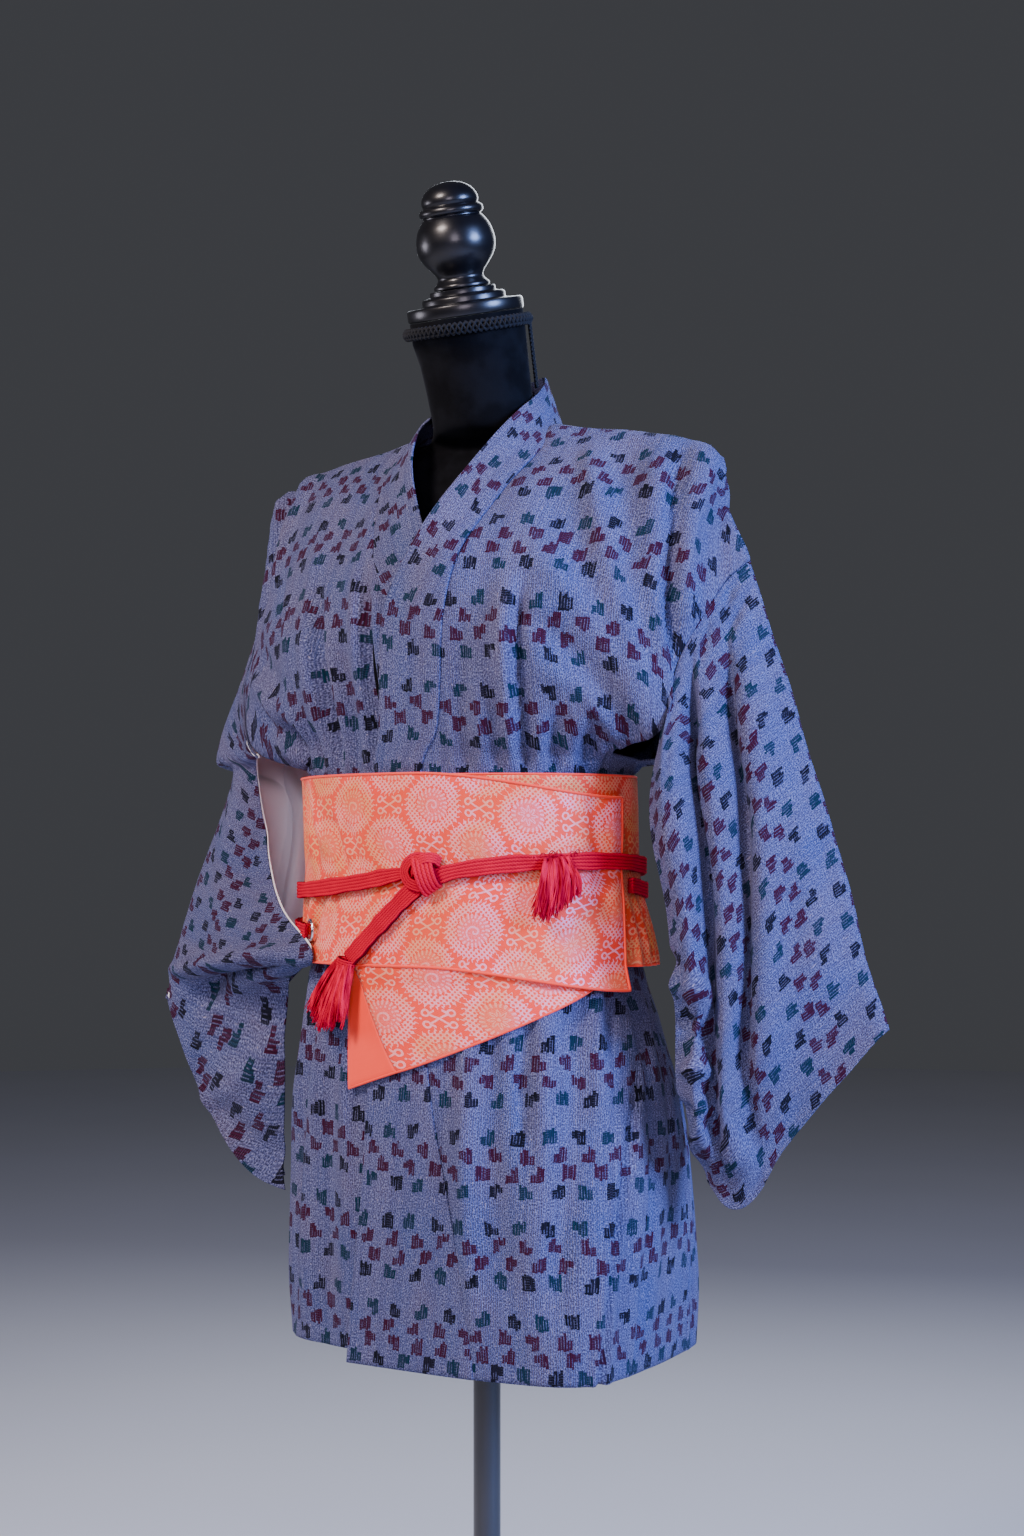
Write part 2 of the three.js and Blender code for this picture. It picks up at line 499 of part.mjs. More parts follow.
// u: -1 at the front inner edge, 0 on the arm line, 1 at the back inner edge. v: armhole to cuff.
function sleeveSurface({ rows, sag, folds }, side, front, back) {
  const table = rows.map((row) => [...row.front, ...row.outer, ...row.back]);
  const plain = (u, v) => {
    const row = through(table, v);
    const turn = radians((1 - Math.abs(u)) * 90);
    const out = Math.sin(turn);
    const apart = Math.cos(turn) * (0.6 + 0.4 * Math.cos(turn) ** 3);
    const shut = 0.86 * ease(0.82, 1, v) * (1 - ease(0.5, 0.66, out));
    const half = apart * (1 - shut) * (u < 0 ? 1 : -1) / 2;
    const centre = (k) => (row[k] + row[k + 6]) / 2;
    const p = [0, 1, 2].map((k) => mix(centre(k), row[k + 3], out) + half * (row[k] - row[k + 6]));
    const away = new THREE.Vector2(row[4] - centre(1), centre(0) - row[3]).normalize().multiplyScalar(side);
    const layer = u < 0 ? 'front' : 'back';
    let lift = 0;
    for (const fold of folds.filter((one) => one.layer === layer)) {
      const reach = ease(fold.from, fold.from + 0.2, v) * (1 - ease(fold.to - 0.2, fold.to, v));
      lift += fold.height * Math.exp(-(((out - fold.at) / fold.width) ** 2)) * reach;
    }
    lift *= (u < 0 ? 1 : -1) * (1 - shut);
    const drop = through(sag.map((value) => [value]), out)[0] * Math.max(v, 0) ** 1.5;
    return [p[0] + away.x * lift, p[1] + away.y * lift, p[2] - drop];
  };
  const armhole = (u) => (u < 0 ? front : back)(1, mix(UNDER_ARM_V, 1, 1 - Math.abs(u)));
  return (u, v) => {
    const sewn = 1 - ease(0, 0.22, v);
    const start = armhole(u);
    const loose = plain(u, 0);
    return plain(u, v).map((value, k) => value + sewn * (start[k] - loose[k]));
  };
}

function addSleeve(name, side, shape, front, back) {
  const surface = sleeveSurface(shape, side, front, back);
  const vs = spread(shape.start, 1, shape.steps);
  const us = spread(-1, 1, shape.around);
  const face = side > 0 ? [0, CLOTH] : [-CLOTH, 0];
  const calm = { calm: 0.05 };
  const squareAtArmhole = (u, v, normal) => {
    if (v > vs[0]) return;
    const along = mix(UNDER_ARM_V, 1 - GAP_V, 1 - Math.abs(u));
    normal.copy(normalOf(u < 0 ? front : back, 1, along, 1e-3)).multiplyScalar(u < 0 ? -1 : 1);
    if (u === 0) normal.y = 0;
  };
  addPiece(name, wall(surface, us, vs, ...face, { ...calm, square: squareAtArmhole }), haoriCloth);
  const inside = CLOTH + SEAM;
  const liningFace = side > 0 ? [inside, inside + LINING] : [-inside - LINING, -inside];
  const lining = wall(surface, us.slice(1, -1), vs.slice(1, -1), ...liningFace, calm);
  addPiece(`${name}_lining`, lining, satin);
}

// ---- belt ----
// Rings just outside the cloth, from the lower to the upper edge.
const BELT_RINGS = [
  { z: 950, half: 145, front: 104, back: 102, x: -5, y: -12 },
  { z: 1022, half: 140.5, front: 100.6, back: 97.5, x: -6, y: -13 },
  { z: 1094, half: 140.6, front: 102.8, back: 96.7, x: -7, y: -14 },
];
const BELT_KEYS = ['z', 'half', 'front', 'back', 'x', 'y'];
const BELT_FOOT_Z = BELT_RINGS[0].z;
const BELT_RIM_Z = BELT_RINGS.at(-1).z;
const BELT_EASE = 0.8;         // gap between two turns
const OUTER_TURN = { from: -158, to: 81, height: 145, fall: 15, flare: 0.3 };
const FLAP = { from: -22, tip: -16, to: 69, topZ: 956, tipZ: 856, endZ: 940, bandTop: 0.03, bandFoot: 0.18, seam: 0.002 };

function beltRing(t) {
  const values = through(BELT_RINGS.map((ring) => BELT_KEYS.map((key) => ring[key])), t);
  return Object.fromEntries(BELT_KEYS.map((key, k) => [key, values[k]]));
}

// Point on the belt's inner turn at an angle and height, `out` mm further out.
function onBelt(angle, z, out) {
  const ring = beltRing(THREE.MathUtils.clamp((z - BELT_FOOT_Z) / (BELT_RIM_Z - BELT_FOOT_Z), 0, 1));
  return onRing({ ...ring, z, half: ring.half + out, front: ring.front + out, back: ring.back + out }, angle);
}

// Point on the skirt below the belt, `out` mm further out.
function onSkirt(angle, z, out) {
  const above = BODY_RINGS.findIndex((ring) => ring.z > z);
  const [low, high] = [BODY_RINGS[above - 1], BODY_RINGS[above]];
  const t = (z - low.z) / (high.z - low.z);
  const at = (key) => mix(low[key], high[key], t);
  return onRing({ z, half: at('half') + out, front: at('front') + out, back: at('back') + out,
    x: at('x'), y: at('y'), square: at('square') }, angle);
}

const outerTurnLevel = BELT + BELT_EASE + BELT + BELT_EASE;

function addBelt() {
  const innerTurn = (u, v) => onBelt(u * 360, mix(BELT_FOOT_Z, BELT_RIM_Z, v), 0);
  const turns = 36;
  const around = spread(0, 1, turns).slice(0, turns);
  addPiece('belt_inner_turn', wall(innerTurn, around, spread(0, 1, 2), -BELT, 0, { wraps: true }), brocade);

  const outerTurn = (u, v) => {
    const angle = mix(OUTER_TURN.from, OUTER_TURN.to, u);
    const fall = OUTER_TURN.fall * ease(5, 78, angle);
    const z = BELT_FOOT_Z - fall + v * OUTER_TURN.height;
    const close = mix(BELT + BELT_EASE, outerTurnLevel, ease(-150, -60, angle));
    return onBelt(angle, z, close + Math.max(BELT_FOOT_Z - z, 0) * OUTER_TURN.flare);
  };
  addPiece('belt_outer_turn', wall(outerTurn, spread(0, 1, 24), spread(0, 1, 2), -BELT, 0), brocade);

  const flap = (u, v) => {
    const angle = mix(mix(FLAP.from, FLAP.tip, v), FLAP.to, u);
    const lower = mix(FLAP.tipZ, FLAP.endZ, u);
    const z = mix(FLAP.topZ, lower, v);
    const p = onSkirt(angle, z, BELT + 1.4);
    const q = onBelt(angle, z, BELT + BELT_EASE);
    const under = ease(BELT_BOTTOM_Z - 14, BELT_BOTTOM_Z - 4, z);
    return p.map((value, k) => mix(value, q[k], under));
  };
  const rows = [0, 0.1, 0.3, 0.65, 1];
  const seamAt = (v) => mix(FLAP.bandTop, FLAP.bandFoot, v);
  const band = (u, v) => flap(u * (seamAt(v) - FLAP.seam), v);
  const beyond = (u, v) => flap(mix(seamAt(v) + FLAP.seam, 1, u), v);
  addPiece('belt_flap_band', wall(band, spread(0, 1, 2), rows, 0, BELT), plainCoral);
  addPiece('belt_flap', wall(beyond, spread(0, 1, 9), rows, 0, BELT), brocade);
}

// ---- cord, knot and tassels ----
const CORD_WIDTH = 12;
const CORD_THICKNESS = 5;
const CORD_LEVEL = outerTurnLevel + 3.7;

// Flat cord with rounded edges, standing on its edge round the waist.
function cordShape(width, thickness) {
  const shape = new THREE.Shape();
  shape.absellipse(0, 0, width / 2, thickness / 2, 0, Math.PI * 2, false, 0);
  return shape;
}

function cordAlong(points, steps, width = CORD_WIDTH, thickness = CORD_THICKNESS) {
  const path = new THREE.CatmullRomCurve3(points.map((p) => new THREE.Vector3(...p)));
  const shape = cordShape(width, thickness);
  return new THREE.ExtrudeGeometry(shape, { steps, curveSegments: 5, extrudePath: path });
}

// Stations of the cord: angle from the front and height.
const CORD_LOOP = [
  [17, 1024], [35, 1027], [55, 1029], [75, 1029], [95, 1027], [120, 1024], [150, 1020], [180, 1016],
  [210, 1013], [240, 1010], [265, 1008], [285, 1006], [305, 1006], [325, 1008], [345, 1014], [360, 1018],
];
const CORD_SECOND = [
  [85, 1010], [95, 1010], [108, 1008], [125, 1004], [155, 999], [185, 994], [215, 989], [245, 984],
  [270, 980], [290, 977], [308, 975], [314, 974],
];
const KNOT_ANGLE = 8.5;
const KNOT_Z = 1020;

// A closed solid through level ovals that follow the belt: wide along it, deep away from it.
function bell(rows, sides = 16) {
  return loft(rows.map(({ angle, z, level, wide, deep }) => {
    const [x, y] = onBelt(angle, z, level);
    const t = radians(angle);
    return spread(0, 360, sides).slice(0, sides).map((turn) => {
      const a = wide * Math.cos(radians(turn));
      const b = deep * Math.sin(radians(turn));
      return [x + a * Math.cos(t) + b * Math.sin(t), y + a * Math.sin(t) - b * Math.cos(t), z];
    });
  }));
}

const TAIL = [[4.5, 1004], [0, 994], [-5, 983], [-10, 972], [-15, 961], [-18, 954]];
const TASSEL_TAIL = [
  { angle: -18.7, z: 951.8, level: 10, wide: 6, deep: 4 },
  { angle: -20, z: 944, level: 13, wide: 9, deep: 6 },
  { angle: -22, z: 930, level: 17, wide: 12, deep: 7.5 },
  { angle: -24, z: 904, level: 21, wide: 19, deep: 9 },
];
const TASSEL_SIDE = [
  { angle: 49, z: 1022, level: 12, wide: 8, deep: 6 },
  { angle: 49.5, z: 1014, level: 13, wide: 12, deep: 7 },
  { angle: 50.5, z: 984, level: 15, wide: 16, deep: 9 },
];
const EYELET = { angle: -42, z: 975, radius: 7.5, wire: 1.6 };

function addCord() {
  const laid = (stations, level) => stations.map(([angle, z]) => onBelt(angle, z, level));
  addPiece('cord_loop', cordAlong(laid(CORD_LOOP, CORD_LEVEL), 40), redCord);
  addPiece('cord_second', cordAlong(laid(CORD_SECOND, CORD_LEVEL), 28, 10, 5), redCord);
  addPiece('cord_tail', cordAlong(laid(TAIL, CORD_LEVEL + 1.2), 8, 9, 5), redCord);
  const knot = new THREE.SphereGeometry(1, 16, 10).scale(15, 8.5, 13);
  const knotMesh = addPiece('cord_knot', knot, redCord);
  knotMesh.position.set(...onBelt(KNOT_ANGLE, KNOT_Z, CORD_LEVEL + 5));
  knotMesh.rotation.z = radians(KNOT_ANGLE);
  addPiece('tassel_tail', bell(TASSEL_TAIL), redCord);
  addPiece('tassel_side', bell(TASSEL_SIDE), redCord);
}

function addEyelet() {
  const { angle, z, radius, wire } = EYELET;
  const ring = new THREE.TorusGeometry(radius, wire, 6, 20).rotateX(Math.PI / 2);
  const mesh = addPiece('eyelet', ring, eyeletMetal);
  mesh.position.set(...onBelt(angle, z, outerTurnLevel + wire + 0.6));
  mesh.rotation.z = radians(angle * 0.78);
}

addStand();
addForm();
addBody();
addBackCollar();
addGusset('gusset_left', 1, frontLeft, backLeft);
addGusset('gusset_right', -1, frontRight, backRight);
addSleeve('sleeve_left', 1, SLEEVE_LEFT, frontLeft, backLeft);
addSleeve('sleeve_right', -1, SLEEVE_RIGHT, frontRight, backRight);
addBelt();
addCord();
addEyelet();

export default part;
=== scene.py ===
"""A short haori jacket with its belt, worn on a limbless dress form.

Metres, +Z up, front towards -Y, the wearer's left towards +X. The cutter's tables below are in
millimetres, and MM turns them into metres where a mesh is made.
"""
import math
import random
from collections import namedtuple

import bpy
import numpy as np
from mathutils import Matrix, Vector


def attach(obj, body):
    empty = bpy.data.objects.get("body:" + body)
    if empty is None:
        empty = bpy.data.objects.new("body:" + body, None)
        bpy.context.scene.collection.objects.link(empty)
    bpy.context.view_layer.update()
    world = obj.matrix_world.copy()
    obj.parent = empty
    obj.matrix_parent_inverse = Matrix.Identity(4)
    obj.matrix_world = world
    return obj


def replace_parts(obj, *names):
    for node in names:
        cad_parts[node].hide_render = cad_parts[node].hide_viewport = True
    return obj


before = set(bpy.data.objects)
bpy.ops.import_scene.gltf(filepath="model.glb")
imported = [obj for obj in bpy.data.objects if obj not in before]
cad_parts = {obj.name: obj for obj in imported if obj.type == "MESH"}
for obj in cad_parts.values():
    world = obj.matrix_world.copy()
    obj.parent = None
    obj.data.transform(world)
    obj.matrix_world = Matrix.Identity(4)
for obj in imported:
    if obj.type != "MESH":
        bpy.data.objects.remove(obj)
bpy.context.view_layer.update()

MM = 0.001
STRAND_POINTS = 6  # points of a cord's outline on each strand
chance = random.Random(7)


# ---- smooth curves and surfaces
def mix(a, b, t):
    """a where t is 0, b where it is 1, and in between them elsewhere."""
    return a + (b - a) * t


def ease(start, end, t):
    """0 before start, 1 after end, and smooth between them."""
    t = np.clip((np.asarray(t, float) - start) / (end - start), 0, 1)
    return t * t * (3 - 2 * t)


def hump(away, reach):
    """1 where away is 0, and almost nothing beyond twice reach on both sides."""
    return np.exp(-((away / reach) ** 2))


def through(stations, t):
    """Smooth curve through evenly numbered stations, for each t from 0 to 1."""
    stations = np.asarray(stations, float)
    last = len(stations) - 1
    before = 2 * stations[:1] - stations[1:2]
    after = 2 * stations[-1:] - stations[-2:-1]
    padded = np.concatenate([before, stations, after])
    place = np.clip(np.asarray(t, float), 0, 1) * last
    i = np.minimum(place.astype(int), last - 1)
    f = (place - i).reshape(place.shape + (1,) * (stations.ndim - 1))
    p0, p1, p2, p3 = (padded[i + k] for k in range(4))
    bend = 2 * p0 - 5 * p1 + 4 * p2 - p3 + f * (3 * (p1 - p2) + p3 - p0)
    return p1 + 0.5 * f * (p2 - p0 + f * bend)


def along_edge(edge, places, at):
    """Points of an edge at places that lie between those of its own points."""
    return np.stack([np.interp(at, places, edge[:, k]) for k in range(3)], -1)


def unit(vectors):
    """The vectors, each made one long."""
    length = np.linalg.norm(vectors, axis=-1, keepdims=True)
    return vectors / np.maximum(length, 1e-9)


def level_away(points):
    """Level directions from the middle of the form to the points."""
    return unit(points * (1, 1, 0))


def normals_of(grid):
    """Unit normals of a grid: its columns' direction crossed with its rows' direction."""
    return unit(np.cross(np.gradient(grid, axis=1), np.gradient(grid, axis=0)))


def across_line(line, away):
    """Directions across a line of points, square to it and to away."""
    return unit(np.cross(away, unit(np.gradient(line, axis=0))))


def full_turn(count):
    """Count even steps round a circle, in radians from 0."""
    return np.linspace(0, 2 * math.pi, count + 1)[:-1]


def round_outline(count, radius):
    """Count points round a circle, or round an ellipse of two radii."""
    turn = full_turn(count)
    return np.stack([np.cos(turn), np.sin(turn)], -1) * radius


def lengths_from(grid, axis, start=0):
    """Length along one axis of a grid, counted from its line number start."""
    steps = np.linalg.norm(np.diff(grid, axis=axis), axis=-1)
    total = np.concatenate([np.zeros_like(steps.take([0], axis)), np.cumsum(steps, axis)], axis)
    return total - total.take([start], axis)


# ---- meshes
def make_piece(name, points, faces, finish, laid=None, flat_faces=0):
    """A mesh piece in metres from points in millimetres. laid: each point's place on the flat
    cloth. The last flat_faces faces aren't smoothed."""
    mesh = bpy.data.meshes.new(name)
    mesh.from_pydata((np.asarray(points, float) * MM).tolist(), [], faces)
    smooth = np.ones(len(faces), bool)
    smooth[len(faces) - flat_faces:] = False
    mesh.polygons.foreach_set("use_smooth", smooth)
    if laid is not None:
        layer = mesh.uv_layers.new(name="laid_flat")
        corners = np.empty(len(mesh.loops), int)
        mesh.loops.foreach_get("vertex_index", corners)
        layer.data.foreach_set("uv", (np.asarray(laid, float)[corners] * MM).ravel())
    mesh.materials.append(finish.material)
    piece = bpy.data.objects.new(name, mesh)
    bpy.context.scene.collection.objects.link(piece)
    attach(piece, "root")
    return piece


def numbered(grid):
    """Numbers of a grid's points, row by row."""
    return np.arange(grid[..., 0].size).reshape(grid.shape[:2])


def grid_quads(index):
    """The faces between the points of a numbered grid."""
    corners = [index[:-1, :-1], index[:-1, 1:], index[1:, 1:], index[1:, :-1]]
    return np.stack(corners, -1).reshape(-1, 4)


def numbered_rings(rows, sides, first=0):
    """Numbers of the points of a tube's rings, with each ring's first point again at its end."""
    index = np.arange(rows * sides).reshape(rows, sides) + first
    return np.concatenate([index, index[:, :1]], 1)


def tube_faces(around):
    """The faces of a tube between its numbered rings, and one over each end."""
    return grid_quads(around).tolist() + [around[0, -2::-1].tolist(), around[-1, :-1].tolist()]


def rounded_half(thickness, inward, reach, thinnest=0.03):
    """Half the thickness of a sheet whose edges are rounded, at distances in from its edge."""
    t = np.clip(inward / reach, thinnest, 1)
    return thickness / 2 * np.sqrt(t * (2 - t))


def shell(name, points, normals, quads, laid, inner, outer, finish):
    """A closed thin wall: its faces lie inner and outer mm along the normals."""
    used, quads = np.unique(quads, return_inverse=True)
    quads = quads.reshape(-1, 4)
    points, normals, laid = points[used], normals[used], laid[used]
    inner, outer = (np.broadcast_to(level, used.max() + 1)[used, None] for level in (inner, outer))
    count = len(used)
    ends = np.stack([quads, np.roll(quads, -1, 1)], -1).reshape(-1, 2)
    known = set(map(tuple, ends.tolist()))
    rim = [(b, a, a + count, b + count) for a, b in ends.tolist() if (b, a) not in known]
    faces = quads.tolist() + (quads[:, ::-1] + count).tolist() + rim
    both = np.concatenate([points + normals * outer, points + normals * inner])
    return make_piece(name, both, faces, finish, np.concatenate([laid, laid]), len(rim))


def grid_shell(name, grid, laid, inner, outer, finish):
    """A closed thin wall over one grid of points."""
    index = numbered(grid)
    inner, outer = (np.broadcast_to(level, index.shape).reshape(-1) for level in (inner, outer))
    return shell(name, grid.reshape(-1, 3), normals_of(grid).reshape(-1, 3), grid_quads(index),
                 laid.reshape(-1, 2), inner, outer, finish)


def sweep(name, centres, wide, deep, section, finish, closed=False):
    """A section swept along centres, in the directions wide and deep at each centre."""
    rings = centres[:, None] + wide[:, None] * section[..., :1] + deep[:, None] * section[..., 1:]
    rows, sides = rings.shape[:2]
    around = numbered_rings(rows, sides)
    faces = grid_quads(np.concatenate([around, around[:1]])).tolist() if closed else tube_faces(around)
    girth = np.broadcast_to(np.arange(sides) / STRAND_POINTS, (rows, sides))
    along = np.broadcast_to(lengths_from(centres[:, None], 0), (rows, sides))
    laid = np.stack([girth, along], -1).reshape(-1, 2)
    return make_piece(name, rings.reshape(-1, 3), faces, finish, laid)


def join(name, pieces):
    """Several pieces of one finish made into one."""
    first = pieces[0]
    with bpy.context.temp_override(active_object=first, selected_editable_objects=pieces):
        bpy.ops.object.join()
    first.name = name
    return first


# ---- finishes
def maths(operation, reflected=False):
    """A method that works out an operation with a Math node. reflected: with the value last."""

    def method(value, *others):
        operands = [value, *others]
        if reflected:
            operands.reverse()
        return value.finish.node("ShaderNodeMath", {"operation": operation}, operands)

    return method


class Value:
    """A socket whose sums, products and comparisons are worked out by Math nodes."""

    def __init__(self, finish, node, out=0):
        self.finish = finish
        self.node = node
        self.socket = node.outputs[out]

    __add__ = maths("ADD")
    __radd__ = maths("ADD", reflected=True)
    __sub__ = maths("SUBTRACT")
    __rsub__ = maths("SUBTRACT", reflected=True)
    __mul__ = maths("MULTIPLY")
    __rmul__ = maths("MULTIPLY", reflected=True)
    __truediv__ = maths("DIVIDE")
    __mod__ = maths("FLOORED_MODULO")
    __gt__ = maths("GREATER_THAN")
    __lt__ = maths("LESS_THAN")
    __abs__ = maths("ABSOLUTE")
    floor = maths("FLOOR")
    sine = maths("SINE")
    cosine = maths("COSINE")
    root = maths("SQRT")
    most = maths("MAXIMUM")
    least = maths("MINIMUM")

    def rise(self, start, end):
        """0 at start, 1 at end, and smooth between them."""
        settings = {"interpolation_type": "SMOOTHSTEP"}
        values = {"Value": self, "From Min": start, "From Max": end}
        return self.finish.node("ShaderNodeMapRange", settings, values)

    def part(self, out):
        """Another output of the same node."""
        return Value(self.finish, self.node, out)


class Finish:
    """A material of one slot of the record, and the nodes in it."""

    def __init__(self, name, slot, **constants):
        self.slot = slot
        self.material = bpy.data.materials.new(name)
        self.material.use_nodes = True
        self.tree = self.material.node_tree
        self.tree.nodes.clear()
        output = self.tree.nodes.new("ShaderNodeOutputMaterial")
        self.shader = self.tree.nodes.new("ShaderNodeBsdfPrincipled")
        self.tree.links.new(self.shader.outputs[0], output.inputs[0])
        for socket, value in constants.items():
            self.set(socket.replace("_", " "), value)

    def put(self, socket, value):
        """Links a socket to a value, or gives it a number, a vector or a colour."""
        if isinstance(value, Value):
            self.tree.links.new(value.socket, socket)
        elif hasattr(socket.default_value, "__len__") and len(value) < len(socket.default_value):
            socket.default_value = (*value, 1)
        else:
            socket.default_value = value

    def node(self, kind, settings=None, values=(), out=0):
        """A new node of a kind, with its settings and its sockets' values or links."""
        node = self.tree.nodes.new(kind)
        for setting, value in (settings or {}).items():
            setattr(node, setting, value)
        named = values.items() if isinstance(values, dict) else enumerate(values)
        for socket, value in named:
            self.put(node.inputs[socket], value)
        return Value(self, node, out)

    def set(self, socket, value):
        """Puts a value in one of the shader's sockets."""
        self.put(self.shader.inputs[socket], value)

    def laid_flat(self):
        """The point's place on the flat cloth, in millimetres: across the cloth and along it."""
        place = self.node("ShaderNodeUVMap", {"uv_map": "laid_flat"})
        split = self.node("ShaderNodeSeparateXYZ", values=[place])
        return split * 1000, split.part(1) * 1000

    def vector(self, x, y, z=0.0):
        """Three values made into one vector."""
        return self.node("ShaderNodeCombineXYZ", values=[x, y, z])

    def noise(self, x, y, z=0.0, detail=2.0):
        """Soft noise from 0 to 1 at a place whose unit is one blotch."""
        values = {"Vector": self.vector(x, y, z), "Scale": 1.0, "Detail": detail}
        return self.node("ShaderNodeTexNoise", {}, values)

    def in_space(self, size, detail=2.0, stretch=(1, 1, 1)):
        """Soft noise from 0 to 1 in the object's own space, with blotches of a size in mm."""
        place = self.node("ShaderNodeTexCoord", out=3)
        scale = self.node("ShaderNodeVectorMath", {"operation": "MULTIPLY"}, [place, stretch])
        values = {"Vector": scale, "Scale": 1000 / size, "Detail": detail}
        return self.node("ShaderNodeTexNoise", {}, values)

    def draw(self, x, y, z=0.0):
        """A random number from 0 to 1, the same over each cell."""
        settings = {"noise_dimensions": "3D"}
        return self.node("ShaderNodeTexWhiteNoise", settings, [self.vector(x, y, z)])

    def blend(self, amount, first, second):
        """The first colour where the amount is 0, the second where it is 1."""
        values = {0: amount, 6: first, 7: second}
        return self.node("ShaderNodeMix", {"data_type": "RGBA"}, values, out=2)

    def bump(self, height, distance, strength=1.0):
        """Raises the surface by the height, times a distance in mm."""
        values = {"Strength": strength, "Distance": distance * MM, "Height": height}
        self.set("Normal", self.node("ShaderNodeBump", {}, values))


# Woven blocks of the haori cloth: one block in every cell of a staggered grid, in millimetres.
BLOCK_PITCH = 22.4  # from one block to the next across the cloth
ROW_STEP = 13.2  # from one row of blocks to the next
ROW_PERIOD = 68.0  # four rows of blocks and a bare stripe
ROWS_OF_BLOCKS = 4
BLOCK_HALF = 5.1  # half the width of a block
BLOCK_LOW, BLOCK_HIGH = 1.4, 11.8
BLOCK_MIDDLE = 6.6
STREAKS = 5  # warp streaks in a block
STREAK_WIDTH = 2 * BLOCK_HALF / STREAKS
GAP = 0.3  # how much of a streak's width the pale line beside it takes
NOTCHED = 0.9  # the share of blocks that have a notch in one corner
RIB = 1.7  # from one warp rib to the next
DRIFT = 7  # how far the blocks drift across the cloth
DRIFT_ALONG = 9  # and along it
COOL_LAVENDER, WARM_LAVENDER = (0.048, 0.064, 0.176), (0.098, 0.082, 0.146)
# The second colour on the next line is painted shade for the grooves between the ribs, and also a fine
# random dark speckle.
PALE_THREAD, GROOVE_SHADE_AND_DARK_SPECK, WHITE_SLUB = (0.205, 0.215, 0.370), (0.009, 0.009, 0.034), (0.40, 0.34, 0.44)
INK, TEAL, MAROON = (0.0006, 0.0010, 0.005), (0.0, 0.022, 0.042), (0.042, 0.0002, 0.017)
# The second colour on the next line is painted shade for the blocks' yarn in the grooves between the ribs.
WORN_YARN, YARN_GROOVE_SHADE = (0.04, 0.032, 0.08), (0.0005, 0.0005, 0.002)


def woven_blocks(cloth, across, along):
    """1 on the woven blocks and 0 between them, and their yarn's colour."""
    period = (along / ROW_PERIOD).floor()
    up = along % ROW_PERIOD
    row = (up / ROW_STEP).floor()
    name = row + period * 7
    sway = (cloth.draw(name, 1.0, 11.5) - 0.5) * 0.3
    shifted = across / BLOCK_PITCH + (row % 2) * 0.5 + sway
    cell = shifted.floor()

    def of_block(number):
        return cloth.draw(cell, name, number)

    aside = (shifted - cell - 0.5) * BLOCK_PITCH + (of_block(12.5) - 0.5) * 4
    height = up - row * ROW_STEP + (of_block(13.5) - 0.5) * 1.6
    lane = (aside + BLOCK_HALF) / STREAK_WIDTH
    streak = cell * STREAKS + lane.floor()

    def of_streak(number):
        return cloth.draw(streak, name, number)

    ragged_high = (of_streak(1.5) - 0.5) * 3.4
    ragged_low = (of_streak(2.5) - 0.5) * 2.2
    inside = (abs(aside) < BLOCK_HALF) * (height > BLOCK_LOW + ragged_low)
    inside = inside * (height < BLOCK_HIGH + ragged_high) * (row < ROWS_OF_BLOCKS)
    left_or_right = (of_block(3.5) > 0.5) * 2 - 1
    up_or_down = (of_block(4.5) > 0.32) * 2 - 1
    corner = (of_block(10.5) - 0.5) * 2.6
    notch = aside * left_or_right > 0.9 + corner * 0.7
    notch = notch * ((height - BLOCK_MIDDLE) * up_or_down > 1.3 + corner) * (of_block(8.5) < NOTCHED)
    gap_here = of_streak(5.5)
    gap_high = 5.0 + of_streak(6.5) * 8
    pale_line = (lane % 1 < GAP) * (gap_here < 0.8) * (height > 2.6) * (height < gap_high)
    pale_cross = ((height * 0.55 + gap_here * 3) % 1 < 0.18) * (gap_here > 0.55)
    block = inside * (1 - notch) * (1 - pale_line * 0.62) * (1 - pale_cross * 0.4)

    dark = cloth.blend((cell + row + period) % 2 > 0.5, TEAL, INK)
    yarn = cloth.blend(abs(row - 1.5) > 1, MAROON, dark)
    return block, cloth.blend(of_streak(9.5) * 0.16, yarn, WORN_YARN)


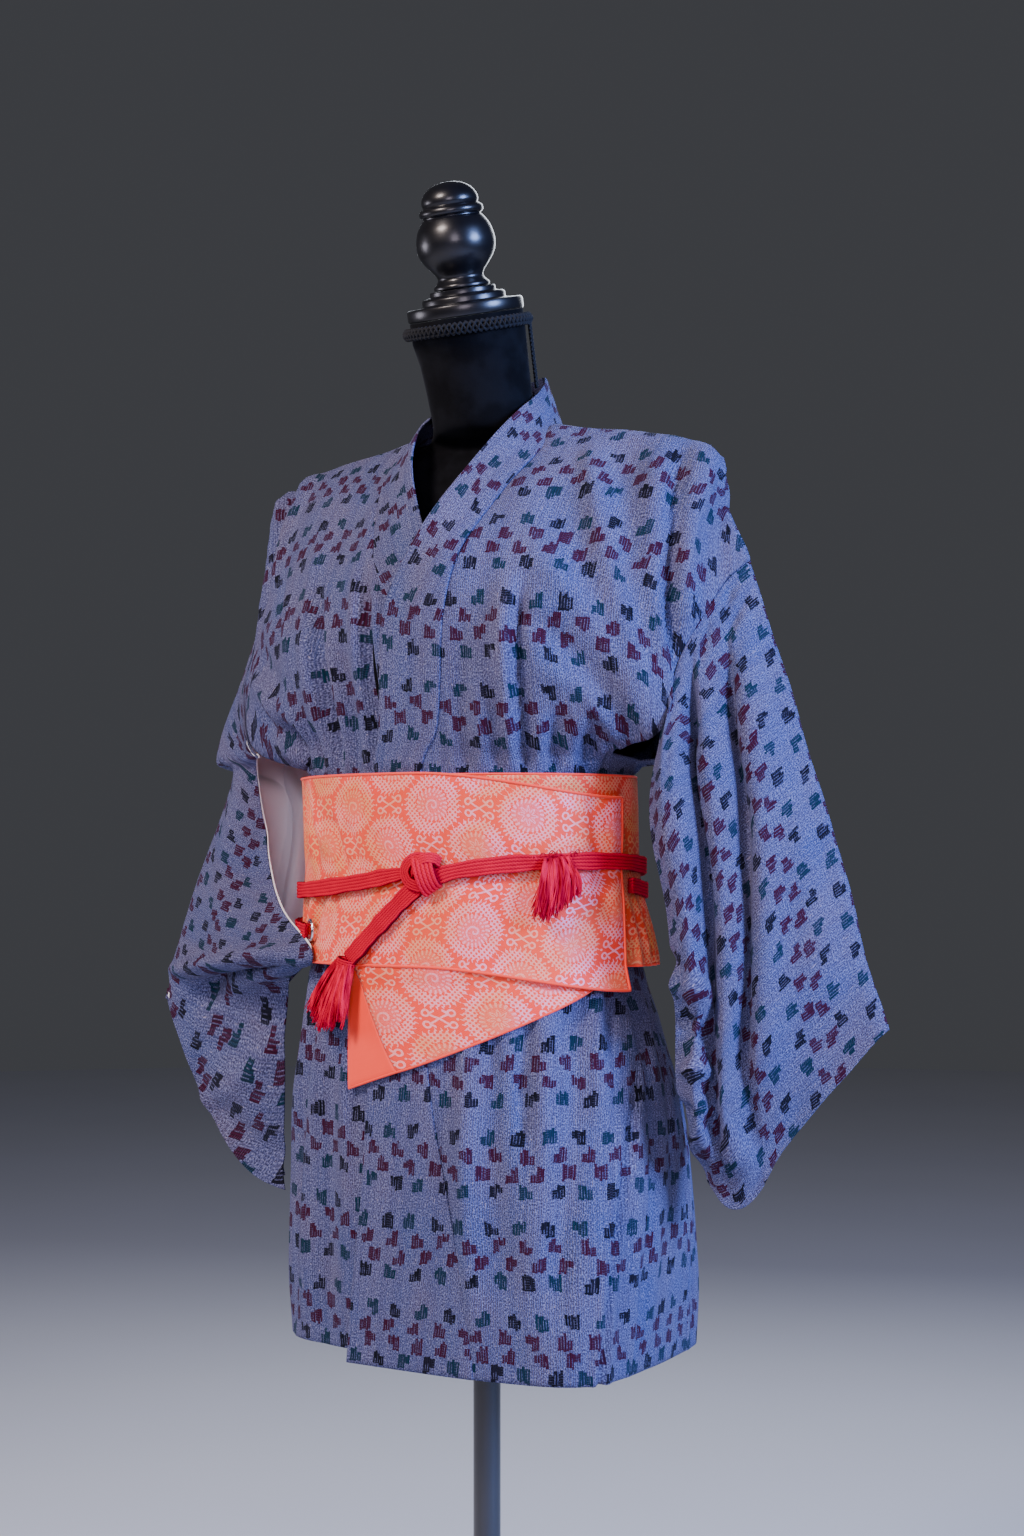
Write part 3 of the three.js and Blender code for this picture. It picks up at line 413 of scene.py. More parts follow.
def woven_cloth():
    """Ribbed lavender crepe with notched blocks of teal, ink and maroon, and painted shade in the grooves
    between its ribs.
    """
    cloth = Finish("haori_cloth", "haori_cloth", Roughness=0.85, Sheen_Weight=0.04,
                   Sheen_Roughness=0.5, Sheen_Tint=(0.55, 0.62, 1.0), Specular_IOR_Level=0.12)
    across, along = cloth.laid_flat()
    across = across + (cloth.noise(across / 55, along / 55) - 0.5) * DRIFT
    along = along + (cloth.noise(across / 48, along / 60, 4.0) - 0.5) * DRIFT_ALONG
    block, yarn = woven_blocks(cloth, across, along)

    thread_hue = cloth.draw((across / RIB).floor(), 0.0, 7.5)
    slow = cloth.noise(across / 34, along / 70, 2.0)
    streaks = cloth.noise(across / 1.7, along / 7, 1.0)
    fine = cloth.noise(across / 0.9, along / 1.3, 3.0, 1.0)
    warmth = (slow - 0.5) * 2.2 + (streaks - 0.5) * 0.6 + 0.5
    ground = cloth.blend(warmth, COOL_LAVENDER, WARM_LAVENDER)
    ground = cloth.blend((thread_hue - 0.5) * 0.25 + (fine - 0.45) * 3.0, ground, PALE_THREAD)
    ribs = ((across / RIB) * 2 * math.pi + (streaks - 0.5) * 5).sine() * 0.5 + 0.5
    # Painted shade: darker in the grooves between the ribs, and in a fine random speckle.
    ground = cloth.blend((1 - ribs) * 0.40 + (0.5 - fine) * 2.2, ground, GROOVE_SHADE_AND_DARK_SPECK)
    slub = cloth.noise(across / 1.3, along / 9, 9.0).rise(0.66, 0.73)
    fleck = cloth.noise(across / 1.9, along / 2.6, 12.0).rise(0.70, 0.76)
    ground = cloth.blend(slub * 0.35 + fleck * 0.65, ground, WHITE_SLUB)

    # Painted shade: the blocks' yarn darkens in the grooves between the ribs.
    yarn = cloth.blend((1 - ribs) * 0.5, yarn, YARN_GROOVE_SHADE)
    cloth.set("Base Color", cloth.blend(block, ground, yarn))
    cloth.bump(ribs * 0.6 + fine * 0.9 + streaks * 0.35 + block * 0.2, 0.5, 0.9)
    return cloth


# Brocade of the belt: roundels in staggered columns, with a scroll figure between them, in mm.
COLUMN = 37.0  # from one column of roundels to the next
ROUNDEL_PITCH = 61.0  # from one roundel to the next in a column
ROUNDEL = 24.6  # radius of a roundel
RIM_TEETH = 36  # scallops round its rim
BAND_FOOT = 14.6  # inner radius of its pale band
HEART = 12  # radius of the figure in it
PAINTED_LIGHT_FROM, PAINTED_LIGHT_OVER = 215, 260  # where along the belt the painted shade, gold on the pale yarn, gives way to painted rose light
OUTER_CLOTH_ENDS = 800  # places across the flat cloth above this are the inner turn's, which gets the painted shade all over
BROCADE_PINK = (1.0, 0.8, 0.8)
CORAL_WEFT, CORAL_FLOAT, ORANGE_WORN = (0.88, 0.016, 0.012), (1.0, 0.058, 0.028), (0.90, 0.080, 0.010)
# The next colour is painted shade: the coral ground's dark tone where the belt is in shade.
CORAL_IN_PAINTED_SHADE = (0.62, 0.040, 0.006)
# Painted shade and painted light on the pale yarn: gold where the belt is in shade, rose where the bluish
# lamp lights it; each pair differs at random.
PALE_IN_PAINTED_SHADE, PALE_IN_DEEP_PAINTED_SHADE = (0.92, 0.33, 0.20), (0.70, 0.30, 0.08)
PALE_IN_PAINTED_LIGHT, PALE_IN_PAINTED_LIGHT_PEACH = (1.0, 0.38, 0.52), (0.96, 0.32, 0.20)


def near(value, middle, reach):
    """1 where a value lies within reach of a middle one."""
    return abs(value - middle) < reach


def far_from(x, y, right, up):
    """Distance from a point."""
    return ((x - right) * (x - right) + (y - up) * (y - up)).root()


def roundel(cloth, x, y, number):
    """A roundel round its middle: a scalloped band, dashes, and a flower or a curl inside."""
    far = far_from(x, y, 0.0, 0.0)
    turn = cloth.node("ShaderNodeMath", {"operation": "ARCTAN2"}, [y, x])
    tooth = abs((turn * RIM_TEETH / (2 * math.pi)) % 1 - 0.5)
    notch = abs((turn * RIM_TEETH / (3 * math.pi)) % 1 - 0.5)
    band = (far < ROUNDEL - 4.4 + tooth * 8) * (far > BAND_FOOT - notch * 5)
    dot = ((x * 1.6).sine() * (y * 1.6).sine()).rise(0.10, 0.35)
    dashes = near(far, 10.9, 1.7) * ((turn * 22 + far * 0.4).sine() > 0.1)
    petals = near(far - 4.9, (turn * 8).cosine() * 2.0, 0.7)
    flower = petals.most(far < 1.3).most(near(far, 4.0, 1.3) * ((turn * 16).sine() > 0.55))
    from_side = far_from(x, y, 1.2, -1.0)
    curl = near((from_side * 1.15 - turn) % (2 * math.pi), math.pi, 0.85) * (from_side < 6.4)
    curl = curl.most(near(far, 7.6, 0.8) * ((turn * 15).sine() > 0.3))
    flowered = cloth.draw(number, 3.0) > 0.45
    heart = (flower * flowered).most(curl * (1 - flowered)).most(dashes)
    return (band * (1 - dot)).most(heart), far


def scroll(x, y):
    """The figure between four roundels: curls on arms, with leaves, and a dot on each side."""
    x, y = abs(x), abs(y)
    curl = near(far_from(x, y, 8.2, 4.4), 2.2, 0.75) * (x + y > 8.8)
    leaf = near(y + (x - 4.6) * 0.6, 4.9, 0.9) * near(x, 4.4, 2.0)
    arm = near(x * 0.5, y * 0.87, 0.7) * (x < 6.6)
    side_dot = far_from(x, y, 11.6, 0.0) < 0.9
    return curl.most(arm).most(leaf).most(side_dot)


def brocade_cloth():
    """Coral weave with pale scalloped roundels, flowers in them, and scrolls between. Painted shade darkens
    the ground and turns the pale yarn gold at the belt's start and on its inner turn; painted rose light
    tints the pale yarn further round.
    """
    cloth = Finish("brocade", "brocade", Roughness=0.55, Sheen_Weight=0.1, Sheen_Roughness=0.4,
                   Sheen_Tint=BROCADE_PINK, Specular_IOR_Level=0.35)
    across, along = cloth.laid_flat()
    across = across + (cloth.noise(across / 9, along / 9) - 0.5) * 2.2
    along = along + (cloth.noise(across / 9, along / 9, 5.0) - 0.5) * 2.2
    float_yarn = cloth.noise(across / 0.9, along / 0.9, 2.0)

    def place(right, up):
        """Across and along from the nearest point of one lattice, and that point's number."""
        x = ((across - right) / (2 * COLUMN) + 0.5)
        y = ((along - up) / ROUNDEL_PITCH + 0.5)
        number = x.floor() * 3 + y.floor() * 5 + right
        return (x % 1 - 0.5) * 2 * COLUMN, (y % 1 - 0.5) * ROUNDEL_PITCH, number

    halfway = ROUNDEL_PITCH / 2
    first, first_far = roundel(cloth, *place(0, 0))
    second, second_far = roundel(cloth, *place(COLUMN, halfway))
    scrolls = scroll(*place(0, halfway)[:2]).most(scroll(*place(COLUMN, 0)[:2]))
    figure = first.most(second).most(scrolls)
    twill = ((across * 0.9 + along * 1.25) * 3.4).sine() * 0.5 + 0.5
    # Random blotches: orange wear on the ground, patches in the painted shade, and which of two tones the
    # pale yarn takes.
    wear_and_shade_blotches = cloth.noise(across / 36, along / 40, 8.0).rise(0.36, 0.64)
    # Painted light: 0 where the belt is painted in shade, 1 where it is painted in the bluish lamp's rose
    # light.
    lit_side_share = ((across - PAINTED_LIGHT_FROM) / PAINTED_LIGHT_OVER).most(0).least(1) * (across < OUTER_CLOTH_ENDS)
    ground = cloth.blend(float_yarn, CORAL_WEFT, CORAL_FLOAT)
    ground = cloth.blend(wear_and_shade_blotches * 0.5, ground, ORANGE_WORN)
    # Painted shade: the ground darkens towards dark rust, in blotches, where the belt is in shade.
    ground = cloth.blend((1 - lit_side_share) * (0.25 + wear_and_shade_blotches * 0.45), ground, CORAL_IN_PAINTED_SHADE)
    # The pale yarn: painted gold shade, turning to painted rose light further round.
    pale = cloth.blend(lit_side_share, cloth.blend(wear_and_shade_blotches, PALE_IN_PAINTED_SHADE, PALE_IN_DEEP_PAINTED_SHADE), cloth.blend(wear_and_shade_blotches, PALE_IN_PAINTED_LIGHT, PALE_IN_PAINTED_LIGHT_PEACH))
    thick = figure * (0.72 + twill * 0.12 + (float_yarn - 0.5) * 1.3).least(0.94).most(0.3)
    speckle = (first_far.least(second_far) < HEART) * (float_yarn - 0.25).most(0) * 0.9
    cloth.set("Base Color", cloth.blend(thick.most(speckle), ground, pale))
    cloth.set("Roughness", 0.62 - figure * 0.14)
    cloth.bump(figure * 0.6 + twill * 0.3 + float_yarn * 0.6, 0.36, 0.7)
    return cloth


def plain_coral():
    """Plain coral weave of the belt's end band and piped edges."""
    cloth = Finish("plain_coral", "plain_coral", Roughness=0.6, Sheen_Weight=0.2,
                   Sheen_Tint=(1.0, 0.8, 0.7), Specular_IOR_Level=0.35)
    across, along = cloth.laid_flat()
    weave = (across * 7).sine() * 0.25 + (along * 7).sine() * 0.25 + 0.5
    cloud = cloth.in_space(22)
    tone = cloth.blend(cloud, (0.92, 0.030, 0.010), (1.0, 0.050, 0.018))
    cloth.set("Base Color", cloth.blend(weave * 0.25, tone, (1.0, 0.09, 0.035)))
    cloth.bump(weave * 0.6 + cloth.in_space(2.0) * 0.5, 0.2, 0.5)
    return cloth


def satin_lining():
    """White satin of the sleeve linings."""
    satin = Finish("satin_lining", "satin_lining", Roughness=0.36, Sheen_Weight=0.15,
                   Specular_IOR_Level=0.55)
    across, along = satin.laid_flat()
    thread = satin.noise(across / 0.7, along / 12)
    cloud = satin.in_space(60)
    tone = satin.blend(cloud, (0.76, 0.75, 0.80), (0.86, 0.84, 0.87))
    satin.set("Base Color", satin.blend(thread * 0.3, tone, (0.67, 0.66, 0.71)))
    satin.set("Roughness", 0.32 + thread * 0.14)
    satin.bump(thread * 0.3 + satin.in_space(14) * 1.5, 0.25, 0.4)
    return satin


def red_braid():
    """Crimson braid: fine slanting stitches on each strand, with painted shade between the stitches and
    nearly black painted shade in the grooves between strands.
    """
    braid = Finish("red_braid", "red_cord", Roughness=0.8, Specular_IOR_Level=0.04)
    girth, along = braid.laid_flat()
    groove = abs(girth % 1 - 0.417).rise(0.24, 0.5)
    turns, rise = girth * 4 * math.pi, along * 2.4
    stitch, other = (turns + rise).sine(), (turns - rise).sine()
    plait = stitch.most(other) * 0.5 + 0.5
    cloud = braid.in_space(14)
    tone = braid.blend(cloud, (0.50, 0.0, 0.022), (0.76, 0.0, 0.036))
    # Painted shade: darker between the stitches, and nearly black in the grooves between the strands.
    tone = braid.blend((1 - plait) * 0.4, tone, (0.20, 0.0, 0.010))
    braid.set("Base Color", braid.blend(groove * 0.9, tone, (0.04, 0.0, 0.002)))
    braid.bump(plait * 0.7 + braid.in_space(1.2) * 0.4 - groove, 0.5, 0.8)
    return braid


def tassel_yarn():
    """Pinkish crimson silk yarn of the tassels."""
    yarn = Finish("tassel_yarn", "red_cord", Roughness=0.8, Specular_IOR_Level=0.04)
    tone = yarn.in_space(5, stretch=(1, 1, 0.2))
    yarn.set("Base Color", yarn.blend(tone.rise(0.3, 0.7), (0.30, 0.0, 0.014), (0.72, 0.0, 0.046)))
    yarn.bump(yarn.in_space(0.9), 0.2, 0.5)
    return yarn


def black_velvet():
    """Black velvet of the form's neck and body, with brushed patches."""
    velvet = Finish("black_velvet", "velvet", Roughness=0.95, Sheen_Weight=0.10, Sheen_Roughness=0.3,
                    Sheen_Tint=(0.30, 0.34, 0.42), Specular_IOR_Level=0.1)
    brushed = velvet.in_space(28, detail=3).rise(0.42, 0.66)
    pile = velvet.in_space(1.3)
    tone = velvet.blend(brushed * 0.6, (0.0008, 0.0008, 0.0014), (0.006, 0.0065, 0.009))
    velvet.set("Base Color", velvet.blend(pile * 0.3, tone, (0.004, 0.004, 0.006)))
    velvet.bump(pile + brushed * 0.6, 0.4, 0.4)
    return velvet


def black_lacquer():
    """Satin black paint on turned wood, a little uneven."""
    paint = Finish("black_lacquer", "black_lacquer", Coat_Weight=0.2, Coat_Roughness=0.2,
                   Specular_IOR_Level=0.35)
    cloud = paint.in_space(30)
    brush = paint.in_space(1.5, stretch=(1, 1, 4))
    paint.set("Base Color", paint.blend(cloud, (0.0012, 0.0012, 0.002), (0.004, 0.004, 0.006)))
    paint.set("Roughness", 0.27 + cloud * 0.08 + brush * 0.04)
    paint.bump(brush + cloud * 2, 0.06, 0.4)
    return paint


def black_braid():
    """Dull black braid round the neck."""
    braid = Finish("black_braid", "black_braid", Roughness=0.8, Sheen_Weight=0.06,
                   Sheen_Tint=(0.4, 0.42, 0.5), Specular_IOR_Level=0.25)
    cloud = braid.in_space(3)
    braid.set("Base Color", braid.blend(cloud, (0.0010, 0.0010, 0.002), (0.007, 0.008, 0.011)))
    braid.bump(braid.in_space(0.9), 0.3, 0.8)
    return braid


def pole_metal():
    """Gloss black enamel on the steel pole and base, with a few fine scratches."""
    enamel = Finish("pole_metal", "pole_metal", Metallic=0.35, Coat_Weight=0.6, Coat_Roughness=0.08)
    drawn = enamel.in_space(3, stretch=(1, 1, 0.03))
    cloud = enamel.in_space(40)
    enamel.set("Base Color", enamel.blend(drawn, (0.010, 0.011, 0.014), (0.030, 0.032, 0.040)))
    enamel.set("Roughness", 0.16 + cloud * 0.12)
    enamel.bump(drawn, 0.03, 0.3)
    return enamel


def eyelet_metal():
    """Polished eyelet, a little dull in patches."""
    metal = Finish("eyelet_metal", "eyelet_metal", Metallic=1.0)
    cloud = metal.in_space(4)
    metal.set("Base Color", metal.blend(cloud, (0.62, 0.63, 0.66), (0.82, 0.82, 0.84)))
    metal.set("Roughness", 0.16 + cloud * 0.16)
    return metal


HAORI = woven_cloth()
BROCADE = brocade_cloth()
CORAL = plain_coral()
SATIN = satin_lining()
CORD = red_braid()
YARN = tassel_yarn()
VELVET = black_velvet()
LACQUER = black_lacquer()
NECK_BRAID = black_braid()
ENAMEL = pole_metal()
EYELET_METAL = eyelet_metal()


# ---- the form's and the cloth's sizes
HEM_Z = 645
BELT_FOOT_Z, BELT_RIM_Z = 950, 1094
CLOTH, LINING, BELT_CLOTH = 1.3, 0.8, 1.5
NECK_LEAN = math.radians(16.5)
CAP_CENTRE = np.array([0.0, -32.0, 1458.0])
Ring = namedtuple("Ring", "z half front back x y square", defaults=(1.0,))


def rows_of(kind, rows):
    """A table's rows, with their values named."""
    return [kind(*row) for row in rows]


# The haori round the hips and waist: height, half width, depths to front and back, middle, and
# squareness, which is 1 for an ellipse and less where the skirt has corners.
BODY_RINGS = rows_of(Ring, [
    (645, 149, 117, 121, 5, 2, 0.52), (705, 153, 118, 120, 6, 0, 0.60),
    (775, 158, 119, 119, 5, -2, 0.75), (850, 159, 116, 116, 0, -6, 0.92),
    (905, 151, 108, 107, -3, -10), (948, 141, 101, 99, -5, -12), (1023, 137, 98, 95, -6, -13),
    (1098, 137, 100, 94, -7, -14),
])
# The belt's inner turn.
BELT_RINGS = rows_of(Ring, [
    (950, 145, 104, 102, -5, -12), (1022, 140.5, 100.6, 97.5, -6, -13),
    (1094, 140.6, 102.8, 96.7, -7, -14),
])


def on_ring(ring, angle, out=0.0):
    """Points of a ring at angles in degrees from the front, towards the wearer's left."""
    sine, cosine = np.sin(np.radians(angle)), np.cos(np.radians(angle))
    across = np.sign(sine) * np.abs(sine) ** ring.square
    ahead = np.sign(cosine) * np.abs(cosine) ** ring.square
    x = ring.x + (ring.half + out) * across
    y = ring.y - (np.where(cosine > 0, ring.front, ring.back) + out) * ahead
    return np.stack(np.broadcast_arrays(x, y, ring.z), -1).astype(float)


def ring_at(rings, z):
    """The ring at a height, in between the rings of a table."""
    heights = [ring.z for ring in rings]
    return Ring(z, *(np.interp(z, heights, column) for column in list(zip(*rings))[1:]))


def smooth_ring_at(rings, z):
    """The ring at a height, on smooth curves through a table's rings, which are evenly spaced."""
    place = np.clip((z - rings[0].z) / (rings[-1].z - rings[0].z), 0, 1)
    values = through([ring[1:] for ring in rings], place)
    return Ring(z, *np.moveaxis(values, -1, 0))


def on_belt(angle, z, out):
    """Points out mm off the belt's inner turn."""
    return on_ring(smooth_ring_at(BELT_RINGS, np.asarray(z, float)), angle, out)


def on_skirt(angle, z, out):
    """Points out mm off the skirt below the belt."""
    return on_ring(ring_at(BODY_RINGS, np.asarray(z, float)), angle, out)


def away_from_belt(angle, z):
    """Level directions straight out of the belt."""
    return unit(on_belt(angle, z, 10.0) - on_belt(angle, z, 0.0))


# ---- camera
VIEW_TURN = math.radians(30)
VIEW_DISTANCE, VIEW_SIDE, EYE_HEIGHT = 1.700, 0.020, 1.030
LENS, HORIZON_SHIFT = 49.8, 0.0599


def add_camera():
    """The camera looks level at the front, from a little to the wearer's left."""
    data = bpy.data.cameras.new("camera")
    data.lens = LENS
    data.shift_y = HORIZON_SHIFT
    camera = bpy.data.objects.new("camera", data)
    right = Vector((math.cos(VIEW_TURN), math.sin(VIEW_TURN), 0))
    ahead = Vector((-math.sin(VIEW_TURN), math.cos(VIEW_TURN), 0))
    camera.location = right * VIEW_SIDE - ahead * VIEW_DISTANCE + Vector((0, 0, EYE_HEIGHT))
    camera.rotation_euler = (math.pi / 2, 0, VIEW_TURN)
    bpy.context.scene.collection.objects.link(camera)
    bpy.context.scene.camera = camera


# ---- cord, knot and tassels
# How the belt's turns and the cord lie on one another, in mm.
OUTER_TURN_LEVEL = 4.6  # outer face of the belt's outer turn, off the inner one
OUTER_TURN_END = 81
CORD_WIDTH, CORD_THICKNESS = 12.6, 5.2
CORD_LEVEL = OUTER_TURN_LEVEL + 3.3
CORD_ON_INNER = 3.5  # the cord's middle where it lies on the inner turn
OUTER_TURN_STARTS = 202  # the outer turn's other end
STEP_DOWN = 14  # degrees in which the cord steps from one turn onto the other
WAVERS = [(0.05, 0.35), (0.04, 0.83)]  # how much the cord's width wavers, and how fast
KNOT_ANGLE, KNOT_Z, KNOT_LEVEL = 8.5, 1020, CORD_LEVEL + 1.6
KNOT_STEPS, KNOT_THICKNESS, BINDING_THICKNESS = 44, 4.6, 3.4
END_TASSEL_PLACE, SIDE_TASSEL_PLACE = (-18.5, 953.0), (50, 1030)
TASSEL_LENGTH, TASSEL_LOCKS, FRAYED_LOCKS = 53, 62, 56
# Angle from the front and height.
CORD_LOOP = [
    (10, 1013), (17, 1021), (35, 1027), (55, 1029), (75, 1029), (95, 1027), (120, 1024), (150, 1020),
    (180, 1016), (210, 1013), (240, 1010), (265, 1008), (285, 1006), (305, 1006), (325, 1008),
    (345, 1013), (357, 1018), (364, 1021),
]
CORD_SECOND = [
    (82.5, 1011), (90, 1010), (100, 1008), (125, 1004), (155, 999), (185, 994), (215, 989), (245, 984),
    (270, 980), (290, 977), (308, 975), (316, 974),
]
CORD_TAIL = [(6.5, 1010), (2, 1000), (-3, 988), (-8, 976), (-13, 964), (-17.5, 954)]


def ribbed_section(width, thickness, strands=5):
    """Outline of round strands lying side by side: across the cord, and out of it."""
    pitch = width / strands
    radius = pitch * 0.577
    lift = max(thickness / 2 - radius, 0)
    middles = [(k - (strands - 1) / 2) * pitch for k in range(strands)]
    outline = []
    for side in (1, -1):
        for middle in middles[::side]:
            for turn in np.linspace(150, 30, STRAND_POINTS):
                a = math.radians(turn)
                across, out = radius * math.cos(a), radius * math.sin(a)
                outline.append((middle + side * across, side * (lift + out)))
    return np.array(outline)


def cord_level(angle):
    """How far the cord's middle lies off the belt: nearer where there is no outer turn."""
    past_end = ease(OUTER_TURN_END, OUTER_TURN_END + STEP_DOWN, angle)
    on_inner = past_end * (1 - ease(OUTER_TURN_STARTS - STEP_DOWN, OUTER_TURN_STARTS, angle))
    return mix(CORD_LEVEL, CORD_ON_INNER, on_inner)


def lay_cord(name, stations, raised, width, thickness, strands, steps=200, waist=None):
    """A flat cord round the belt, on its route of angles and heights. waist: its share of the
    full width at each place from its start to its end."""
    places = np.linspace(0, 1, steps)
    angle, z = through(stations, places).T
    centres = on_belt(angle, z, cord_level(angle) + raised)
    deep = away_from_belt(angle, z)
    swell = 1
    for amount, pace in WAVERS:
        swell = swell + amount * np.sin(np.arange(steps) * pace)
    if waist:
        swell = swell * through(waist, places)
    swelling = np.stack([swell, swell ** 0.3], -1)[:, None]
    sections = ribbed_section(width, thickness, strands) * swelling
    return sweep(name, centres, across_line(centres, deep), deep, sections, CORD), centres


KnotTurn = namedtuple("KnotTurn", "name width strands roundness route")
# The knot's turns. Each route: across, up and out of the knot's middle.
KNOT_TURNS = rows_of(KnotTurn, [
    ("knot_core", 15, 5, 0.6, [(-9, 0, -1), (0, 1, 1), (9, 0, -1)]),
    ("knot_bight", 8.4, 4, 0.25, [
        (5, 9, -1), (0, 11.5, 2.4), (-6, 10.5, 4), (-10.5, 6, 4.6), (-12, 0, 4.2), (-9, -6, 4.2),
        (-3, -9, 4), (4, -10, 2)]),
    ("knot_cap", 9.0, 4, 0.6, [
        (-7.5, 0, 1.5), (-5, 4, 4.6), (-0.5, 8.4, 6.2), (5, 11, 5.4), (10.5, 10.6, 2.6), (13, 8, -1)]),
    ("knot_upright", 15.5, 5, 0.75, [
        (0, 11, -1), (1, 10.4, 4), (3, 6.4, 7.4), (5, 0, 8.4), (6.8, -6.5, 7), (8.2, -11, 3.4),
        (8.6, -12, -1)]),
])


def tie_knot():
    """The flat knot in front: a bight round to the left, a turn over the top and an upright one."""
    middle = on_belt(KNOT_ANGLE, KNOT_Z, KNOT_LEVEL)
    out = away_from_belt(KNOT_ANGLE, KNOT_Z)
    frame_of_knot = np.array([unit(np.cross([0, 0, 1.0], out)), [0, 0, 1.0], out])
    bands = []
    for turn in KNOT_TURNS:
        places = through(turn.route, np.linspace(0, 1, KNOT_STEPS))
        centres = middle + places @ frame_of_knot
        ahead = unit(np.gradient(centres, axis=0))
        away = unit(mix(out, unit(centres - middle + out * 2), turn.roundness))
        wide = unit(np.cross(away, ahead))
        section = ribbed_section(turn.width, KNOT_THICKNESS, turn.strands)
        bands.append(sweep(turn.name, centres, wide, unit(np.cross(ahead, wide)), section, CORD))
    return join("tied_knot", bands)


def bind(name, middle, side, out, radii, width, strands):
    """A closed turn of cord round middle, in the plane of the directions side and out."""
    turn = full_turn(48)
    centres = middle + np.outer(np.sin(turn) * radii[0], side) + np.outer(np.cos(turn) * radii[1], out)
    ahead = unit(np.roll(centres, -1, 0) - np.roll(centres, 1, 0))
    away = unit(centres - middle)
    section = ribbed_section(width, BINDING_THICKNESS, strands)
    return sweep(name, centres, unit(np.cross(away, ahead)), away, section, CORD, closed=True)


Yarn = namedtuple("Yarn", "start middle end radius")


def yarn_bundle(name, yarns, steps=13, sides=5):
    """Many thin yarns, each a bent and slightly wavy tube that narrows at its tip."""
    points, faces = [], []
    t = np.linspace(0, 1, steps)[:, None]
    round_yarn = round_outline(sides, 1)
    for yarn in yarns:
        start, middle, end = (np.asarray(p, float) for p in yarn[:3])
        line = (1 - t) ** 2 * start + 2 * t * (1 - t) * middle + t ** 2 * end
        ahead = unit(np.gradient(line, axis=0))
        side = unit(np.cross(ahead, [0.31, 0.9, 0.3]))
        other = np.cross(ahead, side)
        line = line + side * np.sin(t * 8 + chance.uniform(0, 6.3)) * t * chance.uniform(0.2, 1.0)
        section = round_yarn * (yarn.radius * (1 - 0.45 * t ** 3))[:, None]
        ring = line[:, None] + side[:, None] * section[..., :1] + other[:, None] * section[..., 1:]
        faces += tube_faces(numbered_rings(steps, sides, len(points) * steps * sides))
        points.append(ring.reshape(-1, 3))
    return make_piece(name, np.concatenate(points), faces, YARN)


def strayed(point, *spreads):
    """A point moved at random: each spread is a direction and how far it scatters along it."""
    for direction, spread in spreads:
        point = point + direction * chance.gauss(0, spread)
    return point


def tassel(name, top, fall, out, length, fan, locks):
    """A tassel: locks of yarn that fan out below a bound head. fall: the way that it hangs."""
    across = unit(np.cross(out, fall))
    yarns = []
    for k in range(locks):
        side = (k % 17) / 8 - 1 + chance.gauss(0, 0.05)
        depth = chance.uniform(-0.5, 1)
        turn = side * fan
        way = fall * math.cos(turn) + across * math.sin(turn)
        long = length * (1 - 0.1 * abs(side)) * chance.uniform(0.84, 1.04)
        tip = top + way * long + out * (depth * 6 * (1 - 0.4 * abs(side)) + 2)
        for _ in range(8):
            start = top + across * (side * 6.5 + chance.gauss(0, 0.7)) + out * (depth * 3.4 + 0.5)
            end = strayed(tip, (across, 1.1), (out, 0.9), (way, 2))
            middle = top + way * long * 0.42 + across * (side * 6 + chance.gauss(0, 0.8))
            middle = middle + out * (depth * 7.5 + 3 + chance.gauss(0, 0.8))
            yarns.append(Yarn(start, middle, end, chance.uniform(0.45, 0.72)))
    return yarn_bundle(name, yarns)


def frayed_end(name, top, fall, out, locks):
    """The frayed lump over the cord's other end: bent locks of yarn, and loose loops above."""
    across = unit(np.cross(out, fall))
    yarns = []
    for _ in range(locks):
        side = chance.uniform(-1, 1)
        start = top + across * (side * 10 - 1)
        start = start + out * chance.uniform(0, 4) + fall * chance.uniform(-3, 4)
        long = (44 - 14 * max(side, 0)) * chance.uniform(0.72, 1.02)
        reach = -8 + 12 * side + 12 * max(side, 0)
        tip = top + fall * long + across * (reach + chance.gauss(0, 1.6)) + out * chance.uniform(0, 6)
        bulge = top + fall * long * 0.4 + across * (side * 17 + 1) + out * chance.uniform(5, 11)
        for _ in range(7):
            end = strayed(tip, (across, 1.3), (out, 0.8), (fall, 1.5))
            middle = strayed(bulge, (across, 1.2), (out, 0.8))
            bent = (strayed(start, (across, 0.9)), middle, end)
            yarns.append(Yarn(*bent, chance.uniform(0.42, 0.68)))
    for _ in range(12):
        side = chance.uniform(-1.6, 1.3)
        start = top + across * side * 11 + out * 1.5
        end = start + across * chance.uniform(-11, 11)
        middle = (start + end) / 2 - fall * chance.uniform(6, 17) + out * 1.5
        yarns.append(Yarn(start, middle, end, 0.34))
    return yarn_bundle(name, yarns)


